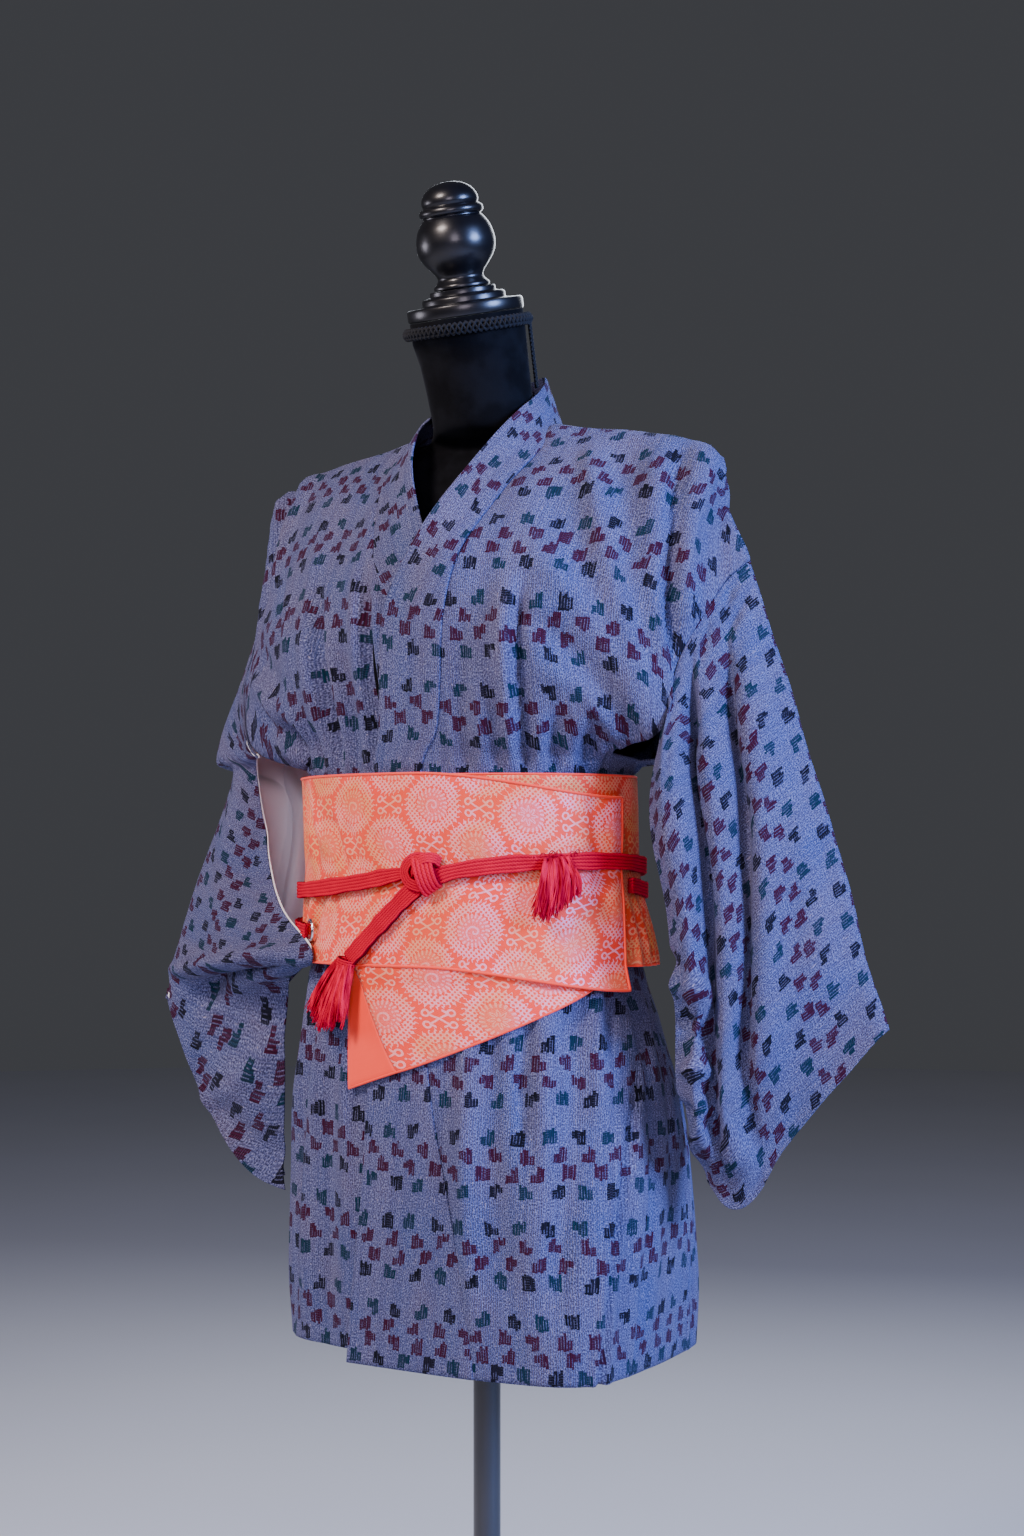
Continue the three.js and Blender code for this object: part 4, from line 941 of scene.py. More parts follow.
def add_cords():
    """The cord's first turn, its second turn and its end, with the knot and the two tassels."""
    full = [1] * (len(CORD_LOOP) - 3)
    lap, lap_route = lay_cord("waist_cord", CORD_LOOP, raised=0.0, width=CORD_WIDTH,
                              thickness=CORD_THICKNESS, strands=5, waist=[0.9, *full, 0.9, 0.62])
    second, second_route = lay_cord("under_cord", CORD_SECOND, raised=0.2, width=11.5,
                                    thickness=4.8, strands=5)
    tail, tail_route = lay_cord("cord_end", CORD_TAIL, raised=1.4, width=13.5,
                                thickness=4.8, strands=7, steps=50)
    knot = tie_knot()
    foot = on_belt(*END_TASSEL_PLACE, KNOT_LEVEL)
    out = away_from_belt(-18.7, 951)
    down = unit(np.array([-0.26, 0.0, -1.0]) + out * 0.14)
    bound = bind("tassel_binding", foot + down, unit(np.cross(out, down)), out,
                 radii=(7.4, 4.6), width=5.5, strands=3)
    hanging = tassel("end_tassel", foot, down, out, TASSEL_LENGTH, fan=0.46, locks=TASSEL_LOCKS)
    side_out = away_from_belt(50, 1010)
    side_down = unit(np.array([0.03, 0.0, -1.0]) + side_out * 0.02)
    side_top = on_belt(*SIDE_TASSEL_PLACE, CORD_LEVEL + 2)
    frayed = frayed_end("side_tassel", side_top, side_down, side_out, FRAYED_LOCKS)

    for piece, node in ((lap, "cord_loop"), (second, "cord_second"), (tail, "cord_tail"),
                        (knot, "cord_knot"), (hanging, "tassel_tail"), (frayed, "tassel_side")):
        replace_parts(piece, node)


add_camera()
add_cords()


# ---- creases
# Where a crease runs on its flat cloth, in millimetres, how wide and high it is, and its shape.
Crease = namedtuple("Crease", "across up to_across to_up width height bow lean", defaults=(0, 0))


def lift_of(creases, laid):
    """How far soft ridges and troughs lift the cloth, at its places on the flat cloth. A crease
    runs from across, up to to_across, to_up. bow: how far its middle lies aside. lean: how much
    wider one flank is than the other."""
    x, y = laid[..., 0], laid[..., 1]
    lift = np.zeros(x.shape)
    for crease in rows_of(Crease, creases):
        run_x, run_y = crease.to_across - crease.across, crease.to_up - crease.up
        length = math.hypot(run_x, run_y)
        along = ((x - crease.across) * run_x + (y - crease.up) * run_y) / length ** 2
        aside = ((y - crease.up) * run_x - (x - crease.across) * run_y) / length
        reached = np.clip(along, 0, 1)
        aside = aside - crease.bow * 4 * reached * (1 - reached)
        width = crease.width * (1 + crease.lean * np.tanh(aside / crease.width))
        fade = ease(-0.10, 0.22, along) * (1 - ease(0.70, 1.10, along))
        lift += crease.height * hump(aside, width) * fade
    return lift


def ripple(laid, seed, size, amount):
    """Slow unevenness of hanging cloth, longer along the cloth than across it."""
    draw = random.Random(seed)
    x, y = laid[..., 0] / size, laid[..., 1] / size
    lift = np.zeros(x.shape)
    for _ in range(7):
        turn = draw.gauss(0, 0.35)
        pace = draw.uniform(2.2, 6.0)
        phase = draw.uniform(0, 6.283)
        sway = 0.6 * np.sin(0.9 * y + draw.uniform(0, 6.283))
        lift += np.sin(pace * (x * math.cos(turn) + y * math.sin(turn) * 0.6) + phase + sway) / pace
    return lift * amount


def evenly(stations, spacing):
    """Places from 0 to 1 through stations, or rows of them, about spacing mm apart."""
    stations = np.asarray(stations, float)
    steps = np.linalg.norm(np.diff(stations, axis=0), axis=-1)
    steps = steps.reshape(len(steps), -1).mean(axis=1)
    total = np.concatenate([[0], np.cumsum(steps)])
    count = int(round(total[-1] / spacing)) + 1
    return np.interp(np.linspace(0, total[-1], count), total, np.linspace(0, 1, len(total)))


def near_ends(places, reach):
    """Adds places close to both ends, where a seam's edge turns in."""
    first, last = places[0], places[-1]
    close = np.array([0.35, 1.0]) * reach
    inside = places[(places > first + reach * 1.5) & (places < last - reach * 1.5)]
    return np.concatenate([[first], first + close, inside, last - close[::-1], [last]])


# ---- the body's stations
FrontRow = namedtuple("FrontRow", "edge seam bust side tip drop outer")
BackRow = namedtuple("BackRow", "centre nape neck blade side tip drop outer")
FRONT_SPANS, BACK_SPANS = 6, 7
SEAM_SPAN, NECK_SPAN = 1, 2  # where the collar's seam and the neck's side lie in a row

# The front above the belt, from the collar's free edge out to the sleeve seam.
FRONT_LEFT_ROWS = rows_of(FrontRow, [
    ((-26, -117, 1128), (22, -117, 1127), (66, -109, 1124), (101, -88, 1120),
     (122, -68, 1118), (134, -58, 1116), (146, -50, 1112)),
    ((-22, -122, 1175), (29, -123, 1168), (74, -116, 1162), (119, -94, 1156),
     (153, -77, 1146), (169, -66, 1137), (182, -56, 1126)),
    ((-17, -122, 1225), (33, -125, 1215), (80, -119, 1205), (130, -95, 1200),
     (167, -65, 1196), (181, -54, 1188), (191, -43, 1180)),
    ((11, -112, 1284), (42, -114, 1262), (82, -106, 1252), (133, -82, 1246),
     (177, -50, 1240), (191, -41, 1222), (204, -29, 1212)),
    ((30, -67, 1340), (57, -73, 1312), (93, -70, 1306), (140, -55, 1300),
     (182, -37, 1292), (197, -27, 1262), (215, -13, 1238)),
    ((43, -31, 1377), (66, -37, 1345), (96, -37, 1340), (141, -30, 1333),
     (191, -20, 1321), (203, -13, 1283), (222, -5, 1248)),
    ((46, 10, 1403), (62, 0, 1374), (95, 0, 1366), (140, 0, 1358),
     (196, 0, 1341), (207, 1, 1300), (227, 3, 1254)),
])
FRONT_RIGHT_ROWS = rows_of(FrontRow, [
    ((40, -113, 1128), (-8, -114, 1126), (-60, -107, 1124), (-103, -87, 1118),
     (-126, -70, 1112), (-138, -60, 1108), (-150, -53, 1104)),
    ((40, -117, 1178), (-10, -119, 1168), (-66, -114, 1162), (-118, -98, 1154),
     (-156, -78, 1142), (-174, -69, 1132), (-188, -62, 1122)),
    ((36, -117, 1228), (-14, -121, 1215), (-71, -117, 1205), (-127, -98, 1198),
     (-169, -70, 1192), (-187, -60, 1184), (-203, -49, 1172)),
    ((6, -108, 1284), (-34, -111, 1262), (-78, -104, 1252), (-131, -84, 1244),
     (-175, -54, 1236), (-191, -45, 1222), (-207, -34, 1206)),
    ((-30, -65, 1336), (-56, -70, 1312), (-92, -68, 1304), (-140, -55, 1296),
     (-182, -36, 1284), (-196, -26, 1262), (-211, -18, 1226)),
    ((-43, -32, 1373), (-65, -36, 1345), (-95, -36, 1338), (-140, -30, 1331),
     (-190, -19, 1314), (-201, -13, 1282), (-216, -9, 1234)),
    ((-46, 8, 1398), (-62, 0, 1372), (-95, 0, 1364), (-140, 0, 1356),
     (-194, 0, 1337), (-204, 0, 1298), (-219, -1, 1240)),
])
# The left back above the belt, from the centre back out to the sleeve seam.
BACK_ROWS = rows_of(BackRow, [
    ((0, 84, 1128), (26, 84, 1127), (40, 83, 1126), (78, 75, 1123), (106, 59, 1119),
     (126, 44, 1115), (136, 35, 1112), (146, 26, 1108)),
    ((0, 92, 1165), (28, 92, 1165), (44, 91, 1163), (84, 86, 1160), (121, 70, 1155),
     (152, 57, 1148), (166, 51, 1144), (178, 46, 1138)),
    ((0, 96, 1210), (30, 96, 1209), (46, 95, 1207), (88, 89, 1203), (129, 72, 1198),
     (166, 55, 1194), (181, 47, 1186), (191, 41, 1178)),
    ((0, 97, 1262), (30, 97, 1261), (46, 95, 1258), (90, 86, 1252), (134, 67, 1246),
     (176, 47, 1240), (191, 39, 1222), (204, 31, 1212)),
    ((0, 86, 1318), (32, 84, 1318), (48, 80, 1315), (92, 67, 1308), (140, 51, 1300),
     (182, 35, 1292), (197, 29, 1262), (215, 19, 1238)),
    ((0, 75, 1348), (36, 67, 1350), (56, 46, 1350), (95, 39, 1341), (141, 30, 1333),
     (191, 21, 1321), (203, 16, 1283), (222, 9, 1248)),
    ((0, 60, 1372), (46, 41, 1373), (62, 3, 1374), (95, 1, 1366), (140, 1, 1358),
     (196, 1, 1341), (207, 2, 1300), (227, 4, 1254)),
])
FRONT_ANGLES = np.array([-11, 6, 24, 42, 58, 69, 80])
BACK_ANGLES = np.array([180, 169, 158, 144, 129, 115, 107, 100])
FRONT_ROWS = {1: FRONT_LEFT_ROWS, -1: FRONT_RIGHT_ROWS}
BODY_NAMES = {1: ("body_left", "front_left", "back_left"),
              -1: ("body_right", "front_right", "back_right")}
LINE_COUNT = len(BODY_RINGS) + len(BACK_ROWS) - 1
SPACING = 4.2  # from one point of the cloth's grids to the next
UNDERLAP = 3.2  # how far the right front lies under the left one
MEASURED_ROW = 9  # the row above the belt along which the points are spaced evenly
SHORT_HEM = 0.012  # the right front's hem starts this much higher
UNDER_ARM = 9 / LINE_COUNT  # where the sleeve is sewn on, in a front's own height
SEAM_DIP, SEAM_REACH = 0.9, 1.3  # how deep a seam's dip is, and how wide


def mirrored(row, front_outer):
    """A station row of the right back, whose outer end meets the right front's."""
    points = np.array(row, float) * (-1, 1, 1)
    points[-1] = (mix(points[-1][0], front_outer[0], 0.9), points[-1][1],
                  mix(points[-1][2], front_outer[2], 0.9))
    return points


def front_stations(side):
    """Rows of points up one front, from its hem to the shoulder."""
    skirt = [on_ring(ring, side * FRONT_ANGLES) for ring in BODY_RINGS]
    return skirt + [np.array(row, float) for row in FRONT_ROWS[side]]


def back_stations(side):
    """Rows of points up half of the back, from its hem to the shoulder."""
    skirt = [on_ring(ring, side * BACK_ANGLES) for ring in BODY_RINGS]
    if side > 0:
        return skirt + [np.array(row, float) for row in BACK_ROWS]
    return skirt + [mirrored(row, front.outer) for row, front in zip(BACK_ROWS, FRONT_RIGHT_ROWS)]


def past(first, spans, outward):
    """Places in a row of spans, from the end of its first ones out to its own end."""
    return (first + (spans - first) * outward) / spans


def tucked_under(grid, us, vs):
    """The right front lies under the left one where they overlap."""
    inside = UNDERLAP * (1 - ease(0.28, 0.55, us))[None, :] * (1 - ease(0.8, 0.92, vs))[:, None]
    return grid + inside[..., None] * (0, 1, 0)


def free_of_belt(grid):
    """0 under the belt and 1 clear of it."""
    z = grid[..., 2]
    return np.maximum(ease(0, 9, z - BELT_RIM_Z), ease(0, 9, BELT_FOOT_Z - z))


# ---- creases of the body
# Across the cloth from the centre line, and up from the hem, in the flat cloth's millimetres.
ABOVE_BELT = BELT_RIM_Z - HEM_Z
BELOW_BELT = BELT_FOOT_Z - HEM_Z
Gather = namedtuple("Gather", "across reach drift width height")
UNDER_BELT = 14  # how far under the belt a gather starts
GATHER_BOW, GATHER_LEAN = 0.1, 0.25


def gathers(rows, start, way):
    """Short folds that the belt pinches, running away from its edge."""
    return [(row.across, start - way * UNDER_BELT, row.across + row.drift, start + way * row.reach,
             row.width, row.height, row.drift * GATHER_BOW, GATHER_LEAN)
            for row in rows_of(Gather, rows)]


LEFT_FRONT_GATHERS_UP = [
    (36, 60, 3, 4, 2), (48, 140, 5, 5, -3.4), (58, 100, 8, 7, 3.4), (70, 60, 6, 4, -3.4),
    (80, 150, 8, 7, 4.4), (90, 160, 8, 4, -7), (99, 60, 10, 5, 4), (108, 62, 14, 4.5, -5.5),
    (121, 66, 20, 6, 4.5), (133, 46, 16, 4, -4), (144, 52, 16, 4.5, 4.5), (152, 50, 18, 3.5, -5),
]
RIGHT_FRONT_GATHERS_UP = [
    (22, 150, 4, 5, 2.6), (32, 175, 8, 5, -6.5), (43, 160, 8, 6, 4.6), (55, 100, 6, 4, -3.6),
    (64, 120, 14, 6, 4.2), (75, 150, 24, 5, -7), (88, 140, 26, 7, 5.6), (101, 90, 26, 4.5, -4.5),
    (113, 130, 34, 6, 4.6), (126, 90, 36, 5, -5), (139, 70, 34, 6, 4),
]
BACK_GATHERS_UP = [
    (12, 80, 0, 6, 3.2), (27, 130, 4, 5, -5), (40, 150, 7, 7, 4.6), (55, 90, 9, 4.5, -4.4),
    (68, 170, 16, 8, 5), (85, 120, 24, 5, -5.5), (100, 110, 32, 7, 4.8), (116, 80, 38, 5, -4.6),
    (131, 90, 46, 6, 4.6),
]
LEFT_FRONT_GATHERS_DOWN = [
    (36, 60, -2, 5, -2), (50, 180, 3, 9, 3.6), (66, 90, 4, 5, -2.8), (77, 170, 8, 10, 2.4),
    (89, 130, 6, 4.5, -5.4), (103, 150, 10, 8, 5), (117, 70, 8, 4, -3.4), (130, 150, 6, 7, -3.8),
    (143, 120, 10, 7, 4.4), (155, 70, 4, 3.5, -4.4),
]
RIGHT_FRONT_GATHERS_DOWN = [
    (28, 90, 2, 6, 2.2), (44, 130, 4, 5, -3.6), (52, 150, 8, 7, 3.4), (62, 130, 4, 4, -4.4),
    (74, 120, 6, 6, 3.6), (88, 170, 6, 8, 5), (101, 150, 7, 5, -7.4), (115, 160, 14, 9, 5.2),
    (131, 90, 18, 5, -4),
]
BACK_GATHERS_DOWN = [
    (14, 120, 1, 7, 3.4), (30, 170, 3, 5, -4.4), (46, 90, 5, 7, 3.6), (63, 190, 9, 6, -4.6),
    (80, 140, 14, 8, 4.6), (97, 110, 16, 5, -4), (114, 180, 24, 9, 4.4), (130, 90, 20, 5, -3.8),
]

LEFT_FRONT_CREASES = [
    # The skirt's long soft folds.
    (24, 0, 27, 140, 9, 2.6), (40, 0, 38, 150, 8, -2.4, 3), (56, 20, 54, 230, 11, 3.2, 4),
    (82, 60, 78, 250, 13, -4, 6), (108, 10, 106, 230, 12, 3, -4), (126, 40, 132, 270, 9, -2.6, 3),
    (91, 212, 92, 232, 2.2, -3.4), (96, 180, 96, 197, 2.2, -3),
    # The pressed line beside the gusset: a sharp ridge and a hollow before it.
    (139, -60, 184, 260, 4, 3.4), (132, -10, 164, 190, 17, 3.6), (108, 40, 142, 170, 12, -3.6),
    (145, -60, 190, 260, 2.4, -5), (151, -60, 196, 260, 4, 3), (170, 0, 182, 250, 10, -2.6, 4),
    (192, 20, 196, 240, 9, 3.4, 3),
    # The long ridge from the shoulder to under the arm, and the hollows on its sides.
    (106, 752, 201, 526, 9, 7, -4, 0.35), (88, 700, 172, 540, 15, -5, 8),
    (132, 740, 208, 556, 13, -4.2, -3), (60, 720, 120, 600, 20, 2.6, 8),
    # From the bust to under the arm, and the hollows below.
    (98, 628, 192, 522, 11, 6.4, 8), (96, 584, 184, 496, 10, -6.4, 7), (112, 542, 176, 476, 9, 5, 5),
    (128, 530, 168, 470, 5, -5, 4), (78, 532, 74, 494, 2.6, -3.4),
    (97, 604, 94, 470, 4.5, -6.4, 0, 0.4), (86, 612, 84, 470, 8, 4.2, 2),
    (64, 640, 60, 500, 12, -2.4, 3),
    # The hanging fold under the shoulder's tip: a sharp groove between two rolls.
    (163, 742, 214, 548, 10, 6.4, -4), (179, 744, 228, 540, 4.6, -10, -4, 0.3),
    (200, 742, 243, 560, 12, 7, -4), (240, 720, 262, 640, 7, -4),
]
RIGHT_FRONT_CREASES = [
    (58, 10, 60, 300, 13, 3.6, 5), (84, 0, 80, 260, 9, -3.4, 6), (102, 20, 100, 240, 10, 4, -6),
    (128, 0, 118, 200, 8, -4, 5), (150, 0, 138, 240, 12, 3.6), (176, 0, 160, 250, 9, -3.4),
    (192, -20, 192, 230, 9, 3.4, 3),
    # From the shoulder and the bust down to the belt.
    (60, 700, 44, 520, 16, 3.4, -6), (48, 620, 34, 500, 5, -6, -3), (36, 620, 26, 500, 8, 3.6, -2),
    (112, 640, 88, 500, 12, 5.4, -5), (100, 612, 78, 462, 6, -6, -5),
    (164, 620, 122, 470, 6, -4.6, -6), (146, 610, 106, 470, 10, 4, -5),
    # The wing under the far arm: a bright edge, and the hollow beneath it.
    (206, 560, 112, 486, 8, 7, 6), (188, 520, 112, 464, 7, -7, 5), (176, 500, 130, 452, 6, 4, 3),
    (206, 610, 150, 560, 12, 4, 4), (196, 570, 134, 520, 9, -4, 5),
    # The dark fold beside the shoulder's tip.
    (172, 744, 186, 590, 9, 5.4, -3), (187, 744, 206, 586, 5, -12, -3, 0.3),
    (206, 740, 224, 596, 8, 6, -3),
]
BACK_CREASES = [
    (30, 0, 28, 250, 14, 3.4, 5), (62, 10, 58, 290, 9, -4.2, -5), (92, 0, 88, 280, 14, 4.4, 6),
    (124, 10, 114, 260, 10, -4.2, -5), (156, 0, 140, 270, 13, 4.2, 6), (183, 0, 160, 230, 9, -3.8),
    (56, 720, 130, 540, 16, 5.4, 12), (80, 700, 150, 520, 9, -6, 9), (104, 720, 178, 530, 13, 6.8, 8),
    (118, 650, 190, 500, 8, -6.6, 8), (128, 610, 190, 486, 11, 6, 6),
    (184, 744, 222, 556, 5, -9, -4, 0.3), (168, 744, 210, 560, 10, 5.4, -4),
    (204, 742, 236, 560, 11, 6.4, -4), (40, 640, 70, 470, 12, 4, 8), (22, 700, 34, 560, 16, -3, 4),
    (100, 540, 176, 470, 7, -4.6, 5),
]
LEFT_FRONT = (LEFT_FRONT_CREASES + gathers(LEFT_FRONT_GATHERS_UP, ABOVE_BELT, 1)
              + gathers(LEFT_FRONT_GATHERS_DOWN, BELOW_BELT, -1))
RIGHT_FRONT = (RIGHT_FRONT_CREASES + gathers(RIGHT_FRONT_GATHERS_UP, ABOVE_BELT, 1)
               + gathers(RIGHT_FRONT_GATHERS_DOWN, BELOW_BELT, -1))
BACK = (BACK_CREASES + gathers(BACK_GATHERS_UP, ABOVE_BELT, 1)
        + gathers(BACK_GATHERS_DOWN, BELOW_BELT, -1))
FRONT_CREASES = {1: LEFT_FRONT, -1: RIGHT_FRONT}


# ---- body
BACK_LIES = 400  # how far the back lies from the front on the cloth, for its unevenness


def laid_over_shoulder(grid, shoulder, neck, side):
    """Places on the flat cloth: across from the centre line, and up from the nearer hem."""
    across = np.abs(grid[:, neck, :1]) + lengths_from(grid, 1, neck)
    up = lengths_from(grid, 0)
    down = lengths_from(grid[::-1], 0)[::-1]
    level = up[shoulder].copy()
    level[:neck] = level[neck]
    back = down * (level / down[shoulder])
    rows = np.arange(len(grid))[:, None]
    return np.stack([side * across, np.where(rows <= shoulder, up, back)], -1)


def panel_lift(laid, side, shoulder, grid, seed):
    """Lift of the creases of one body panel, from the front hem over the shoulder."""
    flat = laid * (side, 1)
    rows = np.arange(len(flat))[:, None]
    behind = ease(shoulder - 5, shoulder + 5, rows)
    lift = lift_of(FRONT_CREASES[side], flat) * (1 - behind) + lift_of(BACK, flat) * behind
    lift = lift + ripple(flat + behind[..., None] * BACK_LIES, seed, size=70, amount=1.3)
    return lift * free_of_belt(grid)


def body_grid(side):
    """The grid of a body panel, the row of its shoulder, and how many columns lie behind the neck."""
    fronts, backs = front_stations(side), back_stations(side)
    outward = near_ends(evenly(fronts[MEASURED_ROW][SEAM_SPAN:], SPACING), reach=0.012)
    from_seam, from_neck = past(SEAM_SPAN, FRONT_SPANS, outward), past(NECK_SPAN, BACK_SPANS, outward)
    front_lines = np.stack([through(row, from_seam) for row in fronts])
    back_lines = np.stack([through(row, from_neck) for row in backs])
    shoulder_line = (front_lines[-1:] + back_lines[-1:]) / 2
    lines = np.concatenate([front_lines[:-1], shoulder_line, back_lines[-2::-1]])
    front_vs = evenly(front_lines, SPACING)
    if side < 0:
        front_vs = mix(SHORT_HEM, 1, front_vs)
    back_vs = evenly(back_lines, SPACING)
    vs = np.concatenate([front_vs, 1 + (1 - back_vs[-2::-1])]) / 2
    grid = through(lines, vs)
    shoulder = len(front_vs) - 1
    if side < 0:
        grid[:shoulder + 1] = tucked_under(grid[:shoulder + 1], from_seam, front_vs)

    inward = evenly(backs[MEASURED_ROW][:NECK_SPAN + 1], SPACING)[:-1]
    neck = len(inward)
    behind_neck = np.stack([through(row, inward * NECK_SPAN / BACK_SPANS) for row in backs[::-1]])
    behind = through(behind_neck, (vs[shoulder:] - 0.5) * 2)
    whole = np.zeros((len(vs), neck + len(outward), 3))
    whole[:, neck:] = grid
    whole[shoulder:, :neck] = behind
    whole[:shoulder, :neck] = grid[:shoulder, :1]
    return whole, vs, shoulder, neck


def make_body(side):
    """Makes one body panel. Gives its rows' places and its outer edge, where the sleeve is sewn."""
    grid, vs, shoulder, neck = body_grid(side)
    laid = laid_over_shoulder(grid, shoulder, neck, side)
    normals = normals_of(grid)

    def renew_normals():
        """The panel's two parts meet in a corner at the neck, so each has its own normals."""
        normals[:, neck:] = normals_of(grid[:, neck:]) * side
        normals[shoulder:, :neck] = normals_of(grid[shoulder:])[:, :neck] * side

    normals *= side
    renew_normals()
    lift = panel_lift(laid, side, shoulder, grid, seed=11 + side)
    edge_in = lengths_from(grid[:, ::-1], 1)[:, ::-1]
    lift = lift * (0.35 + 0.65 * ease(0, 14, edge_in)) - SEAM_DIP * hump(edge_in, SEAM_REACH)
    seam_in = lengths_from(grid[:, neck:], 1)
    under_collar = hump(seam_in, 3.0) * (np.arange(len(vs)) <= shoulder)[:, None]
    lift[:, neck:] = lift[:, neck:] * ease(-6, 14, seam_in) - 1.1 * under_collar
    grid = grid + normals * lift[..., None]
    renew_normals()

    quads = grid_quads(numbered(grid))
    real = np.ones((len(vs) - 1, grid.shape[1] - 1), bool)
    real[:shoulder, :neck] = False
    quads = quads[real.reshape(-1)]
    if side < 0:
        quads = quads[:, ::-1]
    name, *nodes = BODY_NAMES[side]
    piece = shell(name, grid.reshape(-1, 3), normals.reshape(-1, 3), quads,
                  laid.reshape(-1, 2), -CLOTH, 0.0, HAORI)
    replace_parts(piece, *nodes)
    return vs, grid[:, -1]


# ---- collar
COLLAR_CLOTH = 2.2
COLLAR_OVER = 0.07  # how far the collar reaches past its seam, in its own width
BACK_FOOT = [(46, 41, 1374), (0, 61, 1374), (-46, 41, 1374)]
BACK_RIM = [(27, 46, 1422), (0, 62, 1422), (-32, 45, 1416)]
COLLAR_CREASES = [
    (30, 560, 34, 660, 9, 1, 2), (18, 500, 40, 560, 7, -0.9), (40, 250, 34, 300, 8, -0.8),
    (20, 100, 26, 230, 10, 0.8), (26, 900, 34, 1010, 10, 1), (44, 1120, 30, 1240, 9, -0.9),
    (30, 690, 46, 760, 8, 1.2, 3), (14, 760, 34, 820, 8, -1),
]


def collar_half(side, across):
    """The collar's grid up one front, from the hem to the shoulder."""
    us = across / FRONT_SPANS
    lines = np.stack([through(row, us) for row in front_stations(side)])
    vs = evenly(lines, SPACING)
    if side > 0:
        return through(lines, vs)
    vs = mix(SHORT_HEM, 1, vs)
    return tucked_under(through(lines, vs), us, vs)


def smooth_at(grid, row, reach, times=40):
    """Eases a bend of the rows' direction near one row."""
    weight = 0.5 * hump(np.arange(1, len(grid) - 1) - row, reach)[:, None, None]
    for _ in range(times):
        grid[1:-1] += weight * ((grid[:-2] + grid[2:]) / 2 - grid[1:-1])
    return grid


def make_collar():
    """One band: up the left front, round the neck and down the right front."""
    width = np.linspace(0, 1 + COLLAR_OVER, 15)
    across = np.concatenate([[0, 0.008, 0.024], width[1:-1], [width[-1] - 0.012, width[-1]]])
    left, right = collar_half(1, across), collar_half(-1, across)[::-1]
    foot = np.array([FRONT_LEFT_ROWS[-1].seam, *BACK_FOOT, FRONT_RIGHT_ROWS[-1].seam], float)
    rim = np.array([FRONT_LEFT_ROWS[-1].edge, *BACK_RIM, FRONT_RIGHT_ROWS[-1].edge], float)
    places = evenly(foot, SPACING)[1:-1]
    behind = mix(through(rim, places)[:, None], through(foot, places)[:, None], across[None, :, None])
    grid = np.concatenate([left, behind, right])
    grid = smooth_at(grid, len(left), reach=5)
    grid = smooth_at(grid, len(left) + len(behind), reach=5)
    along = np.broadcast_to(lengths_from(grid[:, 5:6], 0), grid.shape[:2])
    laid = np.stack([lengths_from(grid, 1), along], -1)
    lift = lift_of(COLLAR_CREASES, laid) + ripple(laid, seed=5, size=60, amount=0.35)
    grid = grid + normals_of(grid) * (lift * free_of_belt(grid))[..., None]
    inward = np.minimum(laid[..., 0], laid[..., 0].max(axis=1, keepdims=True) - laid[..., 0] + 0.3)
    half = rounded_half(COLLAR_CLOTH, inward, reach=1.2, thinnest=0.02)
    under_belt = (grid[..., 2] < BELT_RIM_Z + 2) * (grid[..., 2] > BELT_FOOT_Z - 2)
    level = 0.2 - 0.9 * under_belt
    piece = grid_shell("collar", grid, laid, level - half, level + half, HAORI)
    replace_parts(piece, "collar_left", "collar_back", "collar_right")


# ---- gussets
GUSSET_LIES = 320  # where the gusset lies across the flat cloth, for its pattern
GUSSET_CREASES = [(18, 20, 22, 240, 9, 3, 3), (38, 60, 34, 290, 7, -3, -3),
                  (8, 200, 30, 300, 6, 2.6), (10, 150, 40, 60, 6, -1.6)]


def make_gusset(name, side, vs, edge):
    """The strip between front and back, from the hem to the opening under the arm."""
    top = (len(BODY_RINGS) - 0.6) / LINE_COUNT
    heights = np.linspace(SHORT_HEM if side < 0 else 0.0, top, 82)
    places = near_ends(np.linspace(0, 1, 15), reach=0.03)
    front, back = (along_edge(edge, vs, at) for at in (heights / 2, 1 - heights / 2))
    middle = (front + back) / 2
    bulge = middle + middle * (1, 0, 0) * 0.012
    grid = np.moveaxis(through([front, bulge, back], places), 0, 1)
    laid = np.stack([lengths_from(grid, 1) + GUSSET_LIES, lengths_from(grid, 0)], -1) * (side, 1)
    flat = laid * (side, 1) - (GUSSET_LIES, 0)
    near_edge = np.minimum(lengths_from(grid, 1), -lengths_from(grid, 1, -1))
    lift = lift_of(GUSSET_CREASES, flat) + ripple(flat, seed=31, size=50, amount=0.7)
    lift = lift * free_of_belt(grid) * ease(0, 9, near_edge)
    if side < 0:
        grid, laid, lift = grid[:, ::-1], laid[:, ::-1], lift[:, ::-1]
    grid = grid + normals_of(grid) * lift[..., None]
    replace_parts(grid_shell(name + "_cloth", grid, laid, -CLOTH, 0.0, HAORI), name)


# ---- sleeves
SleeveRow = namedtuple("SleeveRow", "front outer back")
Flute = namedtuple("Flute", "layer at at_cuff width height start end")

